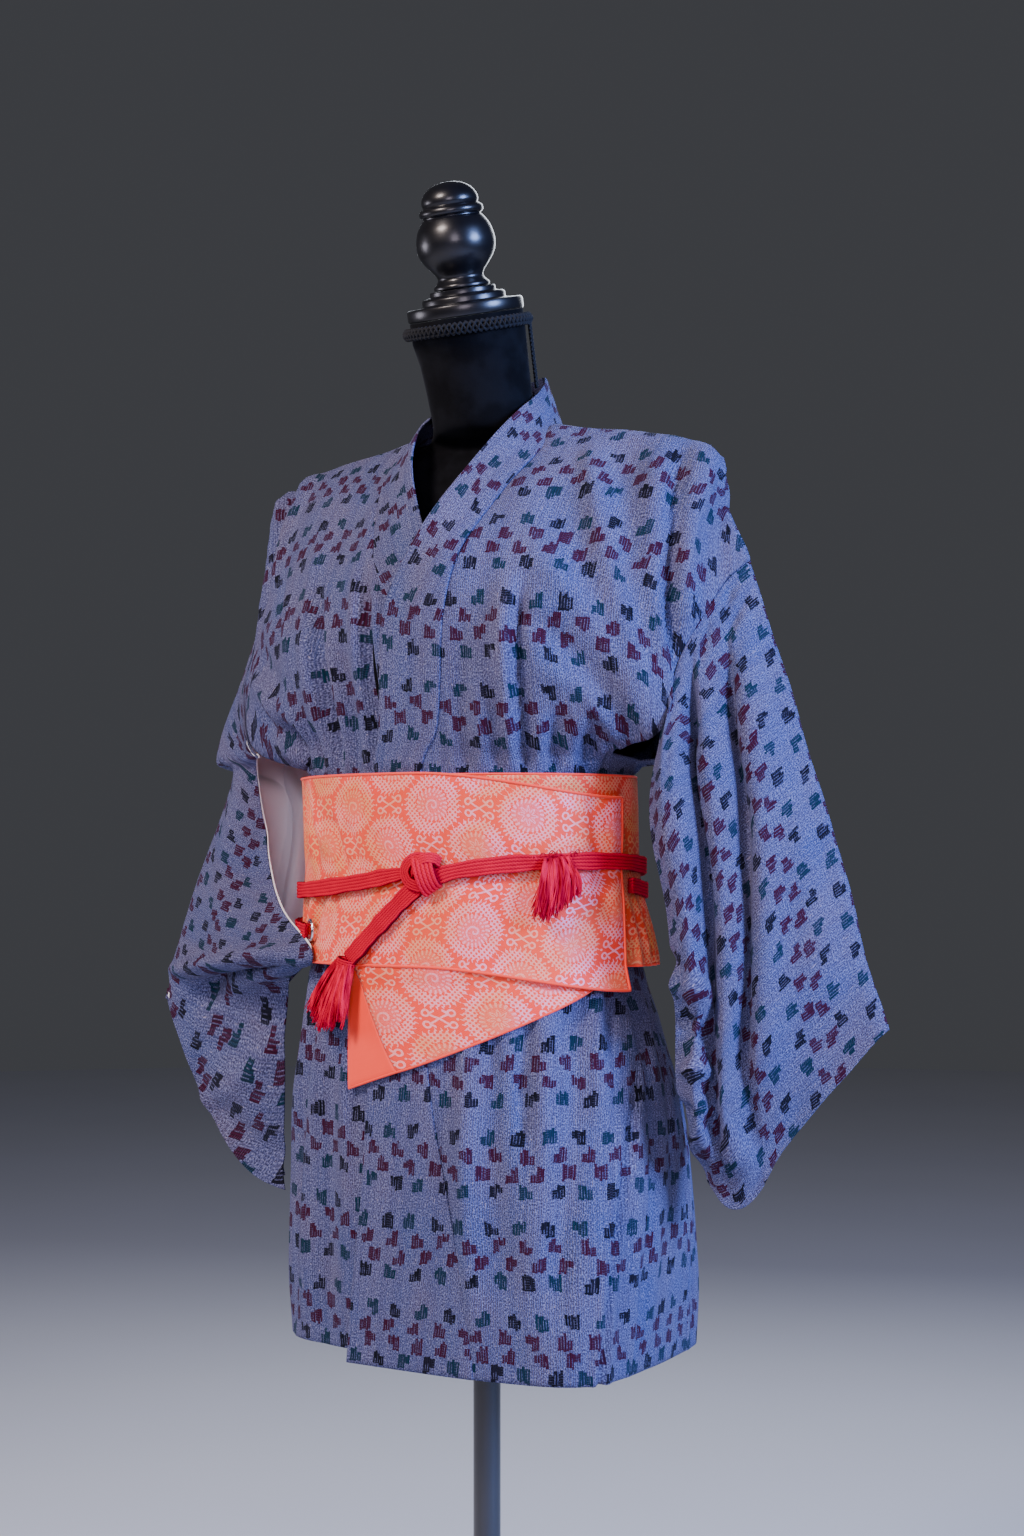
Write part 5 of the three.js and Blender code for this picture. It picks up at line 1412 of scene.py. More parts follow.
SLEEVE_ROWS = {
    1: rows_of(SleeveRow, [
        ((182, -56, 1126), (227, 3, 1254), (178, 46, 1138)),
        ((172, -54, 1070), (247, 10, 1184), (175, 50, 1070)),
        ((184, -54, 1000), (268, 16, 1114), (180, 52, 1000)),
        ((191, -51, 930), (288, 20, 1044), (186, 50, 930)),
        ((190, -46, 860), (307, 24, 975), (190, 46, 860)),
        ((193, -36, 792), (326, 27, 905), (196, 40, 794))]),
    -1: rows_of(SleeveRow, [
        ((-188, -62, 1122), (-219, -1, 1240), (-187, 46, 1124)),
        ((-180, -66, 1113), (-255, -19, 1119), (-184, 48, 1096)),
        ((-191, -50, 1104), (-238, -14, 1102), (-182, 50, 1070)),
        ((-180, -54, 1050), (-262, -19, 1035), (-180, 52, 1020)),
        ((-155, -68, 998), (-287, -24, 975), (-190, 50, 966)),
        ((-98, -101, 961), (-300, -27, 942), (-220, 32, 926)),
        ((-158, -52, 932), (-303, -26, 932), (-226, 22, 886)),
        ((-172, -36, 862), (-304, -26, 925), (-224, 14, 846)),
        ((-177, -24, 800), (-305, -26, 918), (-218, 4, 806)),
        ((-178, -14, 758), (-306, -26, 911), (-206, -2, 776))]),
}
SLEEVE_NAMES = {1: "sleeve_left", -1: "sleeve_right"}
SLEEVE_LIES = 700, 900  # where a sleeve lies on the flat cloth, for its pattern
BACK_SHORTER = 0.035  # how much sooner the cuff's back edge ends, in the sleeve's length
LAYERS_HALF = 3.0  # half the thickness of the sleeve's layers where it is closed
# How far the last row hangs below a straight line, at each tenth of its width.
SAG = {1: [5, 34, 46, 44, 30, 23, 18, 13, 9, 4, 0], -1: [14, 25, 35, 42, 45, 45, 42, 36, 27, 14, 0]}
# The sleeves' largest folds: where across the sleeve at the armhole and at the cuff, from the
# inner edge to the arm line, and where they start and end between armhole and cuff.
FLUTES = {
    1: [
        ("front", 0.20, 0.03, 0.11, 17, -0.1, 0.66), ("front", 0.34, 0.08, 0.07, 10, 0.02, 1.2),
        ("front", 0.44, 0.13, 0.042, -17, 0.0, 1.2), ("front", 0.58, 0.22, 0.09, 7, 0.05, 1.2),
        ("front", 0.78, 0.29, 0.036, -14, 0.06, 1.3), ("front", 0.92, 0.42, 0.10, 8, 0.05, 1.2),
        ("back", 0.2, 0.12, 0.09, 13, 0, 0.9), ("back", 0.42, 0.26, 0.05, -13, 0.05, 1.2),
        ("back", 0.62, 0.46, 0.12, 10, 0.1, 1.2), ("back", 0.8, 0.62, 0.05, -8, 0.1, 1.1)],
    -1: [
        ("front", 0.5, 0.5, 0.2, 8, 0.25, 0.62), ("back", 0.25, 0.2, 0.09, 13, 0, 0.9),
        ("back", 0.42, 0.3, 0.05, -12, 0.05, 1.2), ("back", 0.65, 0.5, 0.12, 10, 0.1, 1.2)],
}


def loose_sleeve(side, us, vs):
    """Points of a sleeve before it is sewn on. us: -1 at the front inner edge, 0 on the arm line,
    1 at the back inner edge. vs: 0 at the armhole, 1 at the cuff."""
    table = np.array([[*row.front, *row.outer, *row.back] for row in SLEEVE_ROWS[side]], float)
    pulled = BACK_SHORTER * ease(0, 0.3, us)
    row = np.stack([through(table, vs * (1 - back * ease(0.6, 1, vs))) for back in pulled], axis=1)
    front, outer, back = row[..., :3], row[..., 3:6], row[..., 6:]
    turn = np.radians((1 - np.abs(us)) * 90)[None, :]
    out, level = np.sin(turn), np.cos(turn)
    v = vs[:, None]
    shut = mix(0.96, 0.86, ease(0.5, 0.66, out)) * ease(0.78, 1, v)
    facing = np.where(us < 0, 1, -1)[None, :]
    half = level * (0.6 + 0.4 * level ** 3) * (1 - shut) * facing / 2
    centre = (front + back) / 2
    points = mix(centre, outer, out[..., None]) + half[..., None] * (front - back)
    away = np.stack([outer[..., 1] - centre[..., 1], centre[..., 0] - outer[..., 0]], -1) * side
    away = away / np.linalg.norm(away, axis=-1, keepdims=True)
    lift = np.zeros(points.shape[:2])
    for flute in rows_of(Flute, FLUTES[side]):
        on_layer = (us < 0) if flute.layer == "front" else (us >= 0)
        reach = ease(flute.start, flute.start + 0.2, v) * (1 - ease(flute.end - 0.2, flute.end, v))
        aside = out - mix(flute.at, flute.at_cuff, v)
        lift += flute.height * hump(aside, flute.width) * reach * on_layer[None, :]
    lift *= facing * (1 - shut)
    lift += facing * LAYERS_HALF * ease(0, 0.35, level) * ease(0.5, 0.95, v)
    drop = through(SAG[side], np.clip(out, 0, 1)) * np.maximum(v, 0) ** 1.5
    points[..., :2] += away * lift[..., None]
    points[..., 2] -= drop
    return points


def sleeve_points(side, us, vs, body_vs, edge):
    """Points of a sleeve that is sewn to the outer edge of its body panel."""
    points = loose_sleeve(side, us, vs)
    at = 0.5 + us * (1 - UNDER_ARM) / 2
    armhole = along_edge(edge, body_vs, at)
    first = loose_sleeve(side, us, np.zeros(1))[0]
    sewn = 1 - ease(0, 0.22, vs)
    return points + sewn[:, None, None] * (armhole - first)[None]


# Creases of the sleeves' layers: down from the arm line, and out from the armhole.
SLEEVE_CREASES = {
    (1, "front"): [
        # The pocket where the inner edge is crushed, and the rolls on its sides.
        (224, 196, 184, 238, 7, 7, 3), (222, 226, 190, 262, 5.5, -8, 3), (230, 262, 186, 288, 6, 7, 3),
        (208, 288, 216, 350, 9, 7, 2), (236, 290, 196, 318, 5, -5, 2), (228, 176, 204, 204, 5, -5),
        # Small wrinkles below the shoulder's tip.
        (4, 2, 34, 14, 3, -3), (2, 10, 34, 24, 3.4, 2.6), (12, 22, 40, 34, 3, -3),
        (14, 34, 44, 44, 3.4, 2.4), (52, 6, 78, 30, 4, -2.6, 2),
        # Long soft folds beside the flutes.
        (40, 60, 50, 330, 18, 2.6, 6), (16, 60, 20, 320, 10, -2, 3), (120, 30, 150, 200, 8, 2.4, 3),
        (190, 330, 150, 372, 8, 5, 3), (170, 318, 148, 352, 5, -4, 2),
    ],
    (1, "back"): [
        (200, 30, 190, 330, 9, 4.4, 5), (166, 10, 160, 340, 7, -4.4, -4),
        (120, 30, 116, 350, 12, 4, 5), (70, 40, 72, 340, 16, -3, 4), (40, 20, 90, 60, 10, 3.4, 3),
        (210, 200, 180, 260, 7, 6, 4), (222, 216, 190, 282, 6, -7, 3), (4, 6, 34, 18, 3.4, -2.8),
        (8, 26, 40, 40, 3.4, -2.6),
    ],
    (-1, "front"): [
        (40, 40, 52, 240, 16, 3.4, 4), (92, 40, 96, 220, 9, -3.4, 5), (126, 30, 140, 230, 12, 3.6, -4),
        # The facet's lower edge, the dark hollow beneath it, and the fold below.
        (196, 286, 0, 340, 7, 12, 6), (194, 304, 30, 352, 7, -18, 8), (180, 326, 60, 366, 13, -5, 4),
        (150, 350, 70, 420, 9, 5, 4), (60, 372, 120, 392, 6, -4, 3), (100, 390, 200, 400, 6, -6, 4),
        (60, 396, 160, 424, 10, 4, 3),
    ],
    (-1, "back"): [
        (200, 30, 190, 330, 9, 4.4, 5), (166, 10, 160, 340, 7, -4.4, -4),
        (120, 30, 116, 350, 12, 4, 5), (70, 40, 72, 340, 16, -3, 4), (210, 200, 180, 260, 7, 5, 4),
        (4, 6, 34, 18, 3.4, -2.8),
    ],
}
LINING_DEPTH = 2.0  # from the cloth's outer face to its lining
LINING_ROWS = slice(5, -4)  # the lining stops short of the armhole and the cuff
EDGE_COLUMNS = 8
NEAR_TRIM = slice(4, -15)  # the near sleeve's lining stops short of its inner edges too
# How far the far sleeve's lining reaches, above the belt's foot and below it: 1 is level with
# the cloth.
REACH_ABOVE, REACH_BELOW = 1.09, 0.55


def sleeve_laid(grid, us):
    """Places on the sleeve's flat cloth: out from the armhole, and down from the arm line."""
    arm_line = int(np.argmin(np.abs(us)))
    down = lengths_from(grid, 1, arm_line)
    out = lengths_from(grid, 0)
    out = mix(out, np.broadcast_to(out[:, arm_line:arm_line + 1], out.shape), 0.6)
    return np.stack([out, down], -1)


def lining_inside(plain, lift):
    """The lining's outer face: under the lowest of the cloth's creases nearby. plain is the
    sleeve without its creases, and lift is how far they stand out."""
    apart = np.linalg.norm(plain - plain[:, ::-1], axis=-1)
    depth = np.clip(apart * 0.35 - 1.0, CLOTH + 0.25, LINING_DEPTH)
    low = lift.copy()
    for _ in range(10):
        around = low[:-2, 1:-1] + low[2:, 1:-1] + low[1:-1, :-2] + low[1:-1, 2:]
        low[1:-1, 1:-1] = np.minimum(lift[1:-1, 1:-1], around / 4)
    across = lengths_from(plain, 1)
    edge_in = np.minimum(np.minimum(across, across[:, -1:] - across), -lengths_from(plain, 0, -1))
    height = mix(lift - CLOTH - 0.3, low - depth, ease(0, 14, edge_in))
    return plain + normals_of(plain) * height[..., None]


def draw_edges(inside):
    """Draws the lining's inner edges in, or out so that they show as a white line."""
    for columns in (inside, inside[:, ::-1]):
        held = columns[:, EDGE_COLUMNS:EDGE_COLUMNS + 1]
        above = ease(BELT_FOOT_Z - 10, BELT_FOOT_Z + 10, held[..., 2:])
        reach = mix(REACH_BELOW, REACH_ABOVE, above)
        columns[:, :EDGE_COLUMNS] = mix(held, columns[:, :EDGE_COLUMNS], reach)


def make_sleeve(side, body_vs, edge):
    """One sleeve, sewn to the outer edge of its body panel, and its satin lining."""
    name = SLEEVE_NAMES[side]
    armhole = SLEEVE_ROWS[side][0]
    spread = 2 * 1.25 * np.linalg.norm(np.subtract(armhole.outer, armhole.front))
    half_columns = int(spread * 1.8 / SPACING / 2)
    us = near_ends(np.linspace(-1, 1, 2 * half_columns + 1), reach=0.006)
    lines = loose_sleeve(side, np.linspace(-1, 1, 21), np.linspace(0, 1, 21))
    vs = near_ends(evenly(lines, SPACING * 0.9), reach=0.008)
    plain = sleeve_points(side, us, vs, body_vs, edge)
    laid = sleeve_laid(plain, us)
    flat = np.stack([np.abs(laid[..., 1]), laid[..., 0]], -1)
    front = lift_of(SLEEVE_CREASES[side, "front"], flat)
    back = lift_of(SLEEVE_CREASES[side, "back"], flat)
    behind = ease(-0.05, 0.05, us)[None, :]
    lift = mix(front, back, behind) + ripple(laid, seed=41 + side, size=65, amount=1.2)
    lift = lift * ease(0, 16, laid[..., 0]) - SEAM_DIP * hump(laid[..., 0], SEAM_REACH)
    woven = np.stack([laid[..., 0] + SLEEVE_LIES[0], laid[..., 1] * side + SLEEVE_LIES[1]], -1)
    if side > 0:
        plain, woven, lift = plain[:, ::-1], woven[:, ::-1], lift[:, ::-1]
    grid = plain + normals_of(plain) * lift[..., None]
    outer_side = grid_shell(name + "_cloth", grid, woven, -CLOTH, 0.0, HAORI)
    inside = lining_inside(plain, lift)[LINING_ROWS]
    lined = woven[LINING_ROWS]
    if side > 0:
        inside, lined = inside[:, NEAR_TRIM], lined[:, NEAR_TRIM]
    else:
        draw_edges(inside)
    lining = grid_shell(name + "_satin", inside, lined, -LINING, 0.0, SATIN)
    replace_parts(outer_side, name)
    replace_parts(lining, name + "_lining")


# ---- belt
# All angles on the belt are degrees from the front, towards the wearer's left.
OuterTurn = namedtuple("OuterTurn", "start end height fall flare")
OUTER = OuterTurn(OUTER_TURN_STARTS - 360, OUTER_TURN_END, 145, 18, 0.3)
END_SLANT = 3.5  # how far its foot falls short of its rim, in degrees
CORD_PRESSES = 1.1  # how deep the cord presses into the belt
PRESSED_Z, PRESSED_REACH = 1022, 13  # at what height, and how far up and down from it
BELT_EASE = 0.8
INNER_MIDDLE, OUTER_MIDDLE = -0.7, -0.75  # the middle of each turn's cloth, out from its level
WAIST_RADIUS = 125
BELT_LIES = 900  # where the inner turn lies along the flat brocade
FLARE, FLARE_WAVE = 9, 1.6  # how far the inner turn's foot stands out, and how much that waves
Dent = namedtuple("Dent", "angle low to_angle high width depth")
# Wrinkles of the stiff brocade: places by angle and height.
BELT_DENTS = [
    (-52, 1090, -40, 1024, 3.2, -5.2), (-44, 1086, -34, 1034, 2.4, 2.4),
    (-30, 1064, -23, 1018, 2.8, -4.4), (-22, 1058, -17, 1020, 2.2, -3.4), (-26, 1060, -20, 1024, 2, 2),
    (-33, 1014, -46, 960, 2.6, -4.2), (-41, 1010, -52, 955, 2.4, 2.4),
    (-50, 1008, -57, 960, 2.4, -3.4), (-60, 1088, -56, 1028, 3.4, -4.6),
    (-26, 1008, -33, 975, 2.4, -1.8), (-9, 1052, -4, 1026, 2.6, -1.6), (-14, 1004, -18, 972, 3, -1.2),
    (18, 1092, 20, 1040, 4.5, 0.8), (38, 1090, 40, 1050, 5, -0.8), (-8, 985, -10, 950, 4, 0.9),
    (30, 1000, 33, 940, 5, -0.8), (52, 1010, 54, 936, 4, 0.8), (66, 1085, 68, 1000, 3, -1.6),
    (76, 1080, 74, 960, 4, 1.6), (86, 1090, 90, 990, 4, -2.8), (92, 1000, 96, 954, 3, 2.2),
    (104, 1085, 102, 965, 5, 1.4), (126, 1090, 130, 1000, 5, -1.5), (150, 1080, 148, 960, 6, 1.2),
    (176, 1088, 178, 1010, 6, -1), (-84, 1088, -88, 1000, 4, -1.6), (-100, 1080, -96, 960, 4.5, 1.4),
    (-120, 1090, -124, 1000, 5, -1.4), (-140, 1080, -138, 962, 5, 1.2),
]


def belt_dents(angle, z):
    """How far the belt's wrinkles stand out, in mm."""
    lift = 0.35 * np.sin(angle / 9.0 + 1.0) * np.sin(z / 31.0) + 0.25 * np.sin(angle / 4.3 + z / 47.0)
    for dent in rows_of(Dent, BELT_DENTS):
        rise = dent.high - dent.low
        along = (z - dent.low) / rise
        aside = angle - mix(dent.angle, dent.to_angle, np.clip(along, 0, 1))
        fade = ease(-0.1, 0.2, along) * (1 - ease(0.7, 1.1, along))
        lift = lift + dent.depth * hump(aside, dent.width) * fade
    return lift


def around_belt(start, end, spacing=2.6):
    """Angles from start to end, about spacing mm apart at the waist."""
    length = abs(end - start) * math.pi / 180 * WAIST_RADIUS
    return np.linspace(start, end, int(length / spacing) + 1)


def inward_of(grid):
    """Distance from the nearest edge of a grid."""
    across, up = lengths_from(grid, 1), lengths_from(grid, 0)
    across = np.minimum(across, across[:, -1:] - across)
    return np.minimum(across, np.minimum(up, up[-1:] - up))


def piping(name, line, away, radius=1.05):
    """A thin covered cord along an edge."""
    return sweep(name, line, across_line(line, away), unit(away), round_outline(10, radius), CORAL)


def make_inner_turn():
    """The belt's inner turn, with piping along its rim and foot."""
    angles = around_belt(-180, 180)
    z = np.linspace(BELT_FOOT_Z, BELT_RIM_Z, 56)[:, None]
    angle, height = np.broadcast_arrays(angles[None, :], z)
    grid = on_belt(angle, height, 0.0)
    lift = belt_dents(angle, height) * 0.5 * ease(79, 85, np.abs(angle)) - 0.2
    flared = ease(78, 88, angle) * (1 - ease(112, 150, angle))
    lift = lift + FLARE * flared * ease(1020, BELT_FOOT_Z, height)
    lift = lift + FLARE_WAVE * flared * np.sin(angle * 0.9) * ease(1030, 970, height)
    grid = grid + away_from_belt(angle, height) * lift[..., None]
    grid[:, -1] = grid[:, 0]
    up = height - BELT_FOOT_Z
    laid = np.stack([lengths_from(grid, 1) + BELT_LIES, up], -1)
    half = rounded_half(BELT_CLOTH, np.minimum(up, up[-1:] - up), reach=1.2)
    piece = grid_shell("belt_under", grid, laid, INNER_MIDDLE - half, INNER_MIDDLE + half, BROCADE)
    away = away_from_belt(angles, BELT_RIM_Z)
    rim = piping("belt_inner_piping", grid[-1] + away * INNER_MIDDLE, away, radius=0.9)
    foot = piping("belt_inner_piping_foot", grid[0] + away * INNER_MIDDLE, away, radius=0.9)
    join("belt_inner_piping", [rim, foot])
    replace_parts(piece, "belt_inner_turn")


def make_outer_turn():
    """The belt's outer turn, which falls away towards its end, with piping on three edges."""
    angles = around_belt(OUTER.start, OUTER.end)
    share = np.concatenate([[0, 0.008], np.linspace(0.02, 0.98, 54), [0.992, 1]])[:, None]
    angle, share = np.broadcast_arrays(angles[None, :], share)
    angle = angle - END_SLANT * (1 - share) * ease(-40, OUTER.end, angle)
    fall = OUTER.fall * ease(5, 78, angle)
    z = BELT_FOOT_Z - fall + share * OUTER.height
    layer = BELT_CLOTH + BELT_EASE
    close = mix(layer, 2 * layer, ease(-150, -60, angle))
    out = close + np.maximum(BELT_FOOT_Z - z, 0) * OUTER.flare
    pressed = hump(z - PRESSED_Z, PRESSED_REACH) * ease(-160, -60, angle)
    out = out + belt_dents(angle, z) - CORD_PRESSES * pressed + 0.8 * ease(70, 81, angle)
    grid = on_belt(angle, z, out)
    laid = np.stack([lengths_from(grid, 1), lengths_from(grid, 0)], -1)
    half = rounded_half(BELT_CLOTH, inward_of(grid), reach=1.3)
    piece = grid_shell("belt_over", grid, laid, OUTER_MIDDLE - half, OUTER_MIDDLE + half, BROCADE)
    rim = piping("belt_piping_rim", grid[-1], away_from_belt(angles, 1090))
    foot = piping("belt_piping_foot", grid[0], away_from_belt(angles, 940))
    end = piping("belt_piping_end", grid[:, -1], away_from_belt(OUTER.end, z[:, -1]))
    join("belt_piping", [rim, foot, end])
    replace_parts(piece, "belt_outer_turn")


# The flap: its angles at its start, its tip and its end, its heights there, and the width of its
# plain band at the top and at the foot, in the flap's own width.
Flap = namedtuple("Flap", "start tip end top_z tip_z end_z band")
FLAP = Flap(-22, -16, 69, 956, 856, 940, (0.03, 0.18))
FLAP_LAYER = BELT_CLOTH + 1.4
FLAP_LENGTH = 186
FLAP_LIES = 305, 820  # where it lies on the flat brocade: along it, and up
FLAP_SEAM = 0.001  # half the gap between band and brocade, in the flap's width


def flap_grid(us, vs):
    """The flap's outer face. us: 0 at its start, 1 at its end. vs: 0 at its top, 1 at its foot."""
    u, v = np.broadcast_arrays(us, vs[:, None])
    angle = mix(mix(FLAP.start, FLAP.tip, v), FLAP.end, u)
    z = mix(FLAP.top_z, mix(FLAP.tip_z, FLAP.end_z, u), v)
    low = on_skirt(angle, z, FLAP_LAYER)
    high = on_belt(angle, z, BELT_CLOTH + BELT_EASE)
    under = ease(BELT_FOOT_Z - 16, BELT_FOOT_Z - 6, z)
    wave = 1.2 * np.sin(u * 9 + 0.6) * v + 0.7 * np.sin(u * 21 + v * 3) * v
    grid = mix(low, high, under[..., None])
    return grid + level_away(grid) * (wave * 0.6 + 0.9 * v)[..., None]


def make_flap():
    """The belt's pointed end, which hangs below it: a plain band, then brocade."""
    vs = np.concatenate([[0], np.linspace(0.02, 0.985, 30), [1]])[::-1]
    seam = mix(*FLAP.band, vs)[:, None]
    for name, start, end, columns, finish in (
        ("belt_flap_band", 0 * seam, seam - FLAP_SEAM, 18, CORAL),
        ("belt_flap", seam + FLAP_SEAM, 1 + 0 * seam, 76, BROCADE),
    ):
        us = mix(start, end, np.linspace(0, 1, columns)[None])
        grid = flap_grid(us, vs)
        laid = np.stack([us * FLAP_LENGTH + FLAP_LIES[0], grid[..., 2] - FLAP_LIES[1]], -1)
        half = rounded_half(BELT_CLOTH, lengths_from(grid, 0), reach=1.2)
        middle = BELT_CLOTH / 2
        piece = grid_shell(name + "_cloth", grid, laid, middle - half, middle + half, finish)
        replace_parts(piece, name)
    foot = flap_grid(np.linspace(0, 1, 120), np.array([0.98, 1.0]))[1]
    side = flap_grid(np.array([0, 0.01]), vs[::-1])[:, 0]
    edge = np.concatenate([side, foot[1:]])
    edge = edge + level_away(edge) * 0.7
    piping("belt_flap_piping", edge, level_away(edge), radius=0.95)


EYELET_ANGLE, EYELET_Z, EYELET_RADIUS = -42, 975, 7.8


def make_eyelet():
    """A metal ring in the belt, flattened a little, that the cord's lower end passes through."""
    middle = on_belt(EYELET_ANGLE, EYELET_Z, 2 * (BELT_CLOTH + BELT_EASE) + 2.2)
    out = away_from_belt(EYELET_ANGLE, EYELET_Z)
    across = unit(np.cross([0, 0, 1.0], out))
    turn = full_turn(48)
    spoke = np.outer(np.cos(turn), across) + np.outer(np.sin(turn), [0, 0, 1.0])
    piece = sweep("eyelet_ring", middle + spoke * EYELET_RADIUS, spoke,
                  np.broadcast_to(out, spoke.shape), round_outline(12, (1.5, 1.3)), EYELET_METAL, True)
    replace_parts(piece, "eyelet")


# ---- dress form and stand
POLE_RADIUS, BASE_RADIUS, BASE_HEIGHT, SOCKET_HEIGHT = 11, 170, 12, 44
FORM_FOOT_Z = 706
FormRing = namedtuple("FormRing", "z half front back y squareness")
FORM_RINGS = rows_of(FormRing, [
    (706, 124, 90, 90, -2, 2), (712, 133, 97, 97, -2, 2), (735, 141, 102, 103, -2, 2),
    (800, 145, 104, 106, -4, 2), (860, 143, 101, 104, -6, 2), (920, 132, 92, 95, -8, 2),
    (975, 117, 85, 86, -11, 2), (1030, 109, 80, 80, -13, 2), (1090, 116, 85, 80, -13, 2),
    (1145, 130, 96, 82, -12, 2.1), (1200, 140, 103, 86, -9, 2.1), (1245, 150, 93, 85, -6, 2.1),
    (1285, 162, 70, 74, -3, 2), (1308, 172, 48, 52, -1, 1.9), (1326, 174, 34, 37, 0, 1.8),
    (1341, 160, 25, 30, 0, 1.7), (1352, 128, 22, 29, 0, 1.7), (1358, 96, 20, 31, 0, 1.7),
    (1363, 60, 25, 38, 0, 1.8), (1370, 42, 38, 42, -4, 2), (1392, 41.5, 41.5, 42, -9, 2),
    (1425, 43.5, 43.5, 43.5, -20, 2),
])
FORM_TOP_Z = 1424  # where the leaning top of the neck begins
NECK_RADIUS = 45
NECK_TOP = [(0, 16), (0, 9), (0, 3), (0, 0.6), (0.8, 0)]  # how far in and down from the cap


def leaning(points):
    """Puts points of an upright turned piece onto the neck, whose top leans forward."""
    x, y, z = np.moveaxis(np.asarray(points, float), -1, 0)
    cosine, sine = math.cos(NECK_LEAN), math.sin(NECK_LEAN)
    return np.stack([x, y * cosine - z * sine, y * sine + z * cosine], -1) + CAP_CENTRE


def closed_rings(name, rings, finish):
    """A solid through rings of points, with a fan of faces at each end."""
    rows, sides = rings.shape[:2]
    around = numbered_rings(rows, sides)
    first, last = around[0].tolist(), around[-1].tolist()
    points = np.concatenate([rings.reshape(-1, 3), [rings[0].mean(0), rings[-1].mean(0)]])
    low, high = rows * sides, rows * sides + 1
    faces = grid_quads(around).tolist()
    faces += [(low, b, a) for a, b in zip(first, first[1:])]
    faces += [(high, a, b) for a, b in zip(last, last[1:])]
    piece = make_piece(name, points, faces, finish)
    piece.data.set_sharp_from_angle(angle=math.radians(38))
    return piece


def turned(name, profile, finish, lean=False, sides=96):
    """A piece turned on its axis, from a profile of radius and height, foot first."""
    profile = np.array(profile, float)[:, None]
    flat = profile[..., :1] * round_outline(sides, 1)
    rings = np.concatenate([flat, np.broadcast_to(profile[..., 1:], (*flat.shape[:2], 1))], -1)
    return closed_rings(name, leaning(rings) if lean else rings, finish)


def curve_of(stations, steps):
    """A smooth profile through stations of radius and height."""
    return through(stations, np.linspace(0, 1, (len(stations) - 1) * steps + 1)).tolist()


def make_form():
    """The form's body and neck, one smooth closed solid."""
    turn = full_turn(120)
    sine, cosine = np.sin(turn), np.cos(turn)
    rings = []
    for row in rows_of(FormRing, through(FORM_RINGS, np.linspace(0, 1, 150))):
        if row.z >= FORM_TOP_Z:
            continue
        power = 2 / row.squareness
        depth = np.where(cosine > 0, row.front, row.back)
        x = row.half * np.sign(sine) * np.abs(sine) ** power
        y = row.y - depth * np.sign(cosine) * np.abs(cosine) ** power
        rings.append(np.stack([x, y, np.full(x.shape, row.z)], -1))
    top = np.stack([sine, -cosine, np.zeros(len(turn))], -1)
    rings += [leaning(top * (NECK_RADIUS - inward) - (0, 0, down)) for inward, down in NECK_TOP]
    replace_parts(closed_rings("form_body_velvet", np.array(rings), VELVET), "form_body")


def make_neck_top():
    """The turned cap on the neck, and the finial on the cap."""
    cap = [
        (0, 0.3), (44.6, 0.3), (45.6, 0.9), (46, 2), (46, 8), (45.4, 9.4), (44, 10), (34, 10.6),
        (33.2, 11.2), (33, 12), (33, 14.6), (32.4, 15.8), (31, 16.5), (27, 16.9), (26.2, 17.4),
        (26, 18.2), (26, 20.4), (25.4, 21), (0, 21),
    ]
    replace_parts(turned("neck_cap_turned", cap, LACQUER, lean=True), "neck_cap")
    foot = [(0, 21.3), (21, 21.3), (22, 22.2), (22.2, 23.6), (21.4, 25)]
    ball = curve_of([
        (20.4, 25.8), (18.4, 28.4), (18.2, 31), (20.2, 34.6), (25.6, 41), (29.6, 47.5), (31, 54),
        (30.6, 60), (28.6, 67), (25, 73), (22.6, 75.6)], 5)
    bead = curve_of([(22.6, 76.2), (24.6, 77.8), (25.2, 79.8), (24.4, 82.2), (22.2, 83.8)], 4)
    tip = curve_of([
        (21.6, 84.6), (22.3, 87.4), (21.4, 91.4), (18.4, 95.8), (13.4, 99.4), (6.8, 101.6),
        (0.4, 102)], 5)
    finial = foot + ball + bead + tip + [(0, 102)]
    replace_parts(turned("finial_turned", finial, LACQUER, lean=True), "finial")


def plait(name, centres, wide, deep, spread, lift, radius, pitch, closed):
    """Three strands plaited along a line."""
    along = lengths_from(centres, 0)
    whole = along[-1] + np.linalg.norm(centres[0] - centres[-1]) * closed
    pace = 2 * math.pi * round(whole / pitch) / whole
    strands = []
    for k in range(3):
        phase = along * pace + k * 2 * math.pi / 3
        line = centres + wide * (np.sin(phase) * spread)[:, None]
        line = line + deep * (np.cos(2 * phase) * lift)[:, None]
        strands.append(sweep(f"{name}_{k}", line, wide, deep, round_outline(8, radius), NECK_BRAID, closed))
    return join(name, strands)


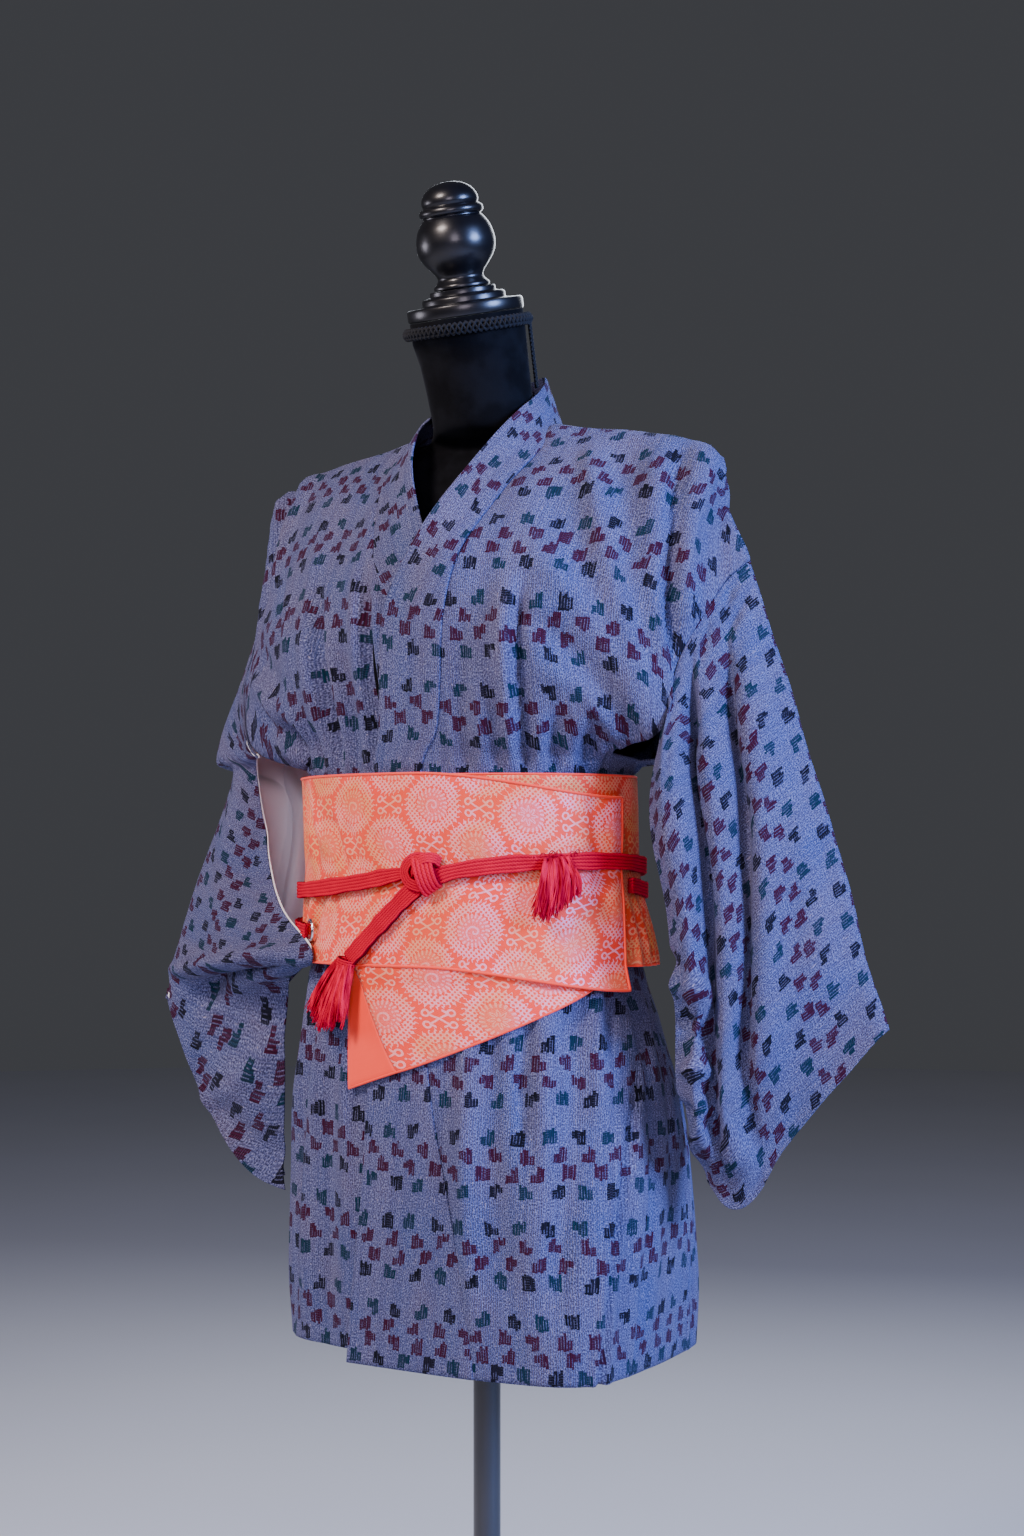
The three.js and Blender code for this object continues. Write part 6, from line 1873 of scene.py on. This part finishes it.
def make_neck_braid():
    """The plaited braid under the cap, and its two ends that hang behind the neck."""
    turn = full_turn(360)
    ring = np.stack([np.sin(turn), -np.cos(turn), np.zeros(360)], -1)
    centres = leaning(ring * 49.4 - (0, 0, 8.2))
    away = unit(leaning(ring) - CAP_CENTRE)
    axis = np.broadcast_to(unit(leaning(np.array([0, 0, 1.0])) - CAP_CENTRE), away.shape)
    braid = plait("neck_braid_plait", centres, axis, away,
                  spread=3.3, lift=1.0, radius=1.7, pitch=13, closed=True)
    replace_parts(braid, "neck_braid")
    fall = np.linspace(0, 1, 90)
    angle = np.radians(118.5) + 0.02 * np.sin(fall * 9)
    spoke = np.stack([np.sin(angle), -np.cos(angle), np.zeros(90)], -1)
    down = np.outer(mix(11.5, 62, fall), [0, 0, 1.0])
    line = leaning(spoke * mix(48.6, 47.4, fall)[:, None] - down)
    out = unit(leaning(spoke) - CAP_CENTRE)
    side = across_line(line, out)
    ends = [plait(f"neck_braid_end_{k}", line + side * aside, side, out,
                  spread=1.7, lift=0.6, radius=1.1, pitch=10, closed=False)
            for k, aside in enumerate((-2.7, 2.7))]
    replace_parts(join("neck_braid_ends", ends), "neck_braid_tail")


def make_stand():
    """The round base with its socket, and the pole up to the form's foot."""
    wide, high, tall = BASE_RADIUS, BASE_HEIGHT, SOCKET_HEIGHT
    bore, socket = POLE_RADIUS + 0.3, POLE_RADIUS + 8
    plate = [
        (0, 0), (wide - 3, 0), (wide - 0.8, 0.8), (wide, 3), (wide, high - 4),
        (wide - 1.2, high - 1.6), (wide - 4, high - 0.4), (wide - 7, high), (socket + 9, high),
        (socket + 4, high + 1.2), (socket + 1.2, high + 4), (socket, high + 9), (socket, tall - 3),
        (socket - 1, tall - 0.9), (socket - 3, tall), (bore, tall), (bore, high + 1), (0, high + 1),
    ]
    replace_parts(turned("base_plate", plate, ENAMEL, sides=144), "base")
    foot, top, edge = BASE_HEIGHT + 1.2, FORM_FOOT_Z - 0.3, 0.6
    pole = [(0, foot), (POLE_RADIUS - edge, foot), (POLE_RADIUS, foot + edge),
            (POLE_RADIUS, top - edge), (POLE_RADIUS - edge, top), (0, top)]
    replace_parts(turned("pole_tube", pole, ENAMEL, sides=64), "pole")


# ---- floor and light
FLOOR_RADIUS, FLOOR_SIDES = 9, 64  # metres


def plain_floor():
    """A round, pale, plain floor."""
    floor = Finish("pale_floor", "floor", Roughness=0.85)
    tone = floor.blend(floor.in_space(600), (0.60, 0.60, 0.60), (0.64, 0.64, 0.64))
    floor.set("Base Color", tone)
    rim = [(x, y, 0.0) for x, y in round_outline(FLOOR_SIDES, FLOOR_RADIUS).tolist()]
    mesh = bpy.data.meshes.new("floor")
    mesh.from_pydata(rim, [], [list(range(FLOOR_SIDES))])
    mesh.materials.append(floor.material)
    piece = bpy.data.objects.new("floor", mesh)
    bpy.context.scene.collection.objects.link(piece)


Lamp = namedtuple("Lamp", "name place size watts colour")
LAMPS = rows_of(Lamp, [
    ("right_window", (2.4, -0.2, 1.9), 1.0, 196, (0.31, 0.46, 1.0)),
    ("left_window", (-0.5, -2.3, 2.9), 0.8, 110, (1.0, 0.86, 0.80)),
    ("near_light", (1.2, -2.3, 1.6), 0.9, 22, (0.95, 0.84, 1.0)),
    ("far_light", (-2.4, -0.9, 1.4), 0.9, 22, (0.90, 0.86, 1.0)),
    ("back_light", (-0.8, 2.3, 2.4), 1.6, 40, (0.85, 0.90, 1.0)),
])
AIM = Vector((0, 0, 1.05))
DIM_GREY, DIM_STRENGTH = (0.60, 0.62, 0.70, 1), 0.085


def light_studio():
    """Soft round lamps aimed at the belt, and a dim grey world."""
    for lamp in LAMPS:
        data = bpy.data.lights.new(lamp.name, "AREA")
        data.shape = "DISK"
        data.size = lamp.size
        data.energy = lamp.watts
        data.color = lamp.colour
        light = bpy.data.objects.new(lamp.name, data)
        light.location = lamp.place
        light.rotation_euler = (AIM - Vector(lamp.place)).to_track_quat("-Z", "Y").to_euler()
        bpy.context.scene.collection.objects.link(light)
    world = bpy.data.worlds.new("studio")
    world.use_nodes = True
    background = world.node_tree.nodes["Background"]
    background.inputs["Color"].default_value = DIM_GREY
    background.inputs["Strength"].default_value = DIM_STRENGTH
    bpy.context.scene.world = world


Cut = namedtuple("Cut", "width length area held rests_on bears", defaults=((),))


def make_garment():
    """The haori's pieces and the belt's, in the order in which they are sewn and put on."""
    for side, name in ((1, "gusset_left"), (-1, "gusset_right")):
        vs, edge = make_body(side)
        make_gusset(name, side, vs, edge)
        make_sleeve(side, vs, edge)
    make_collar()
    make_inner_turn()
    make_outer_turn()
    make_flap()
    make_eyelet()


make_garment()
make_form()
make_neck_top()
make_neck_braid()
make_stand()
plain_floor()
light_studio()
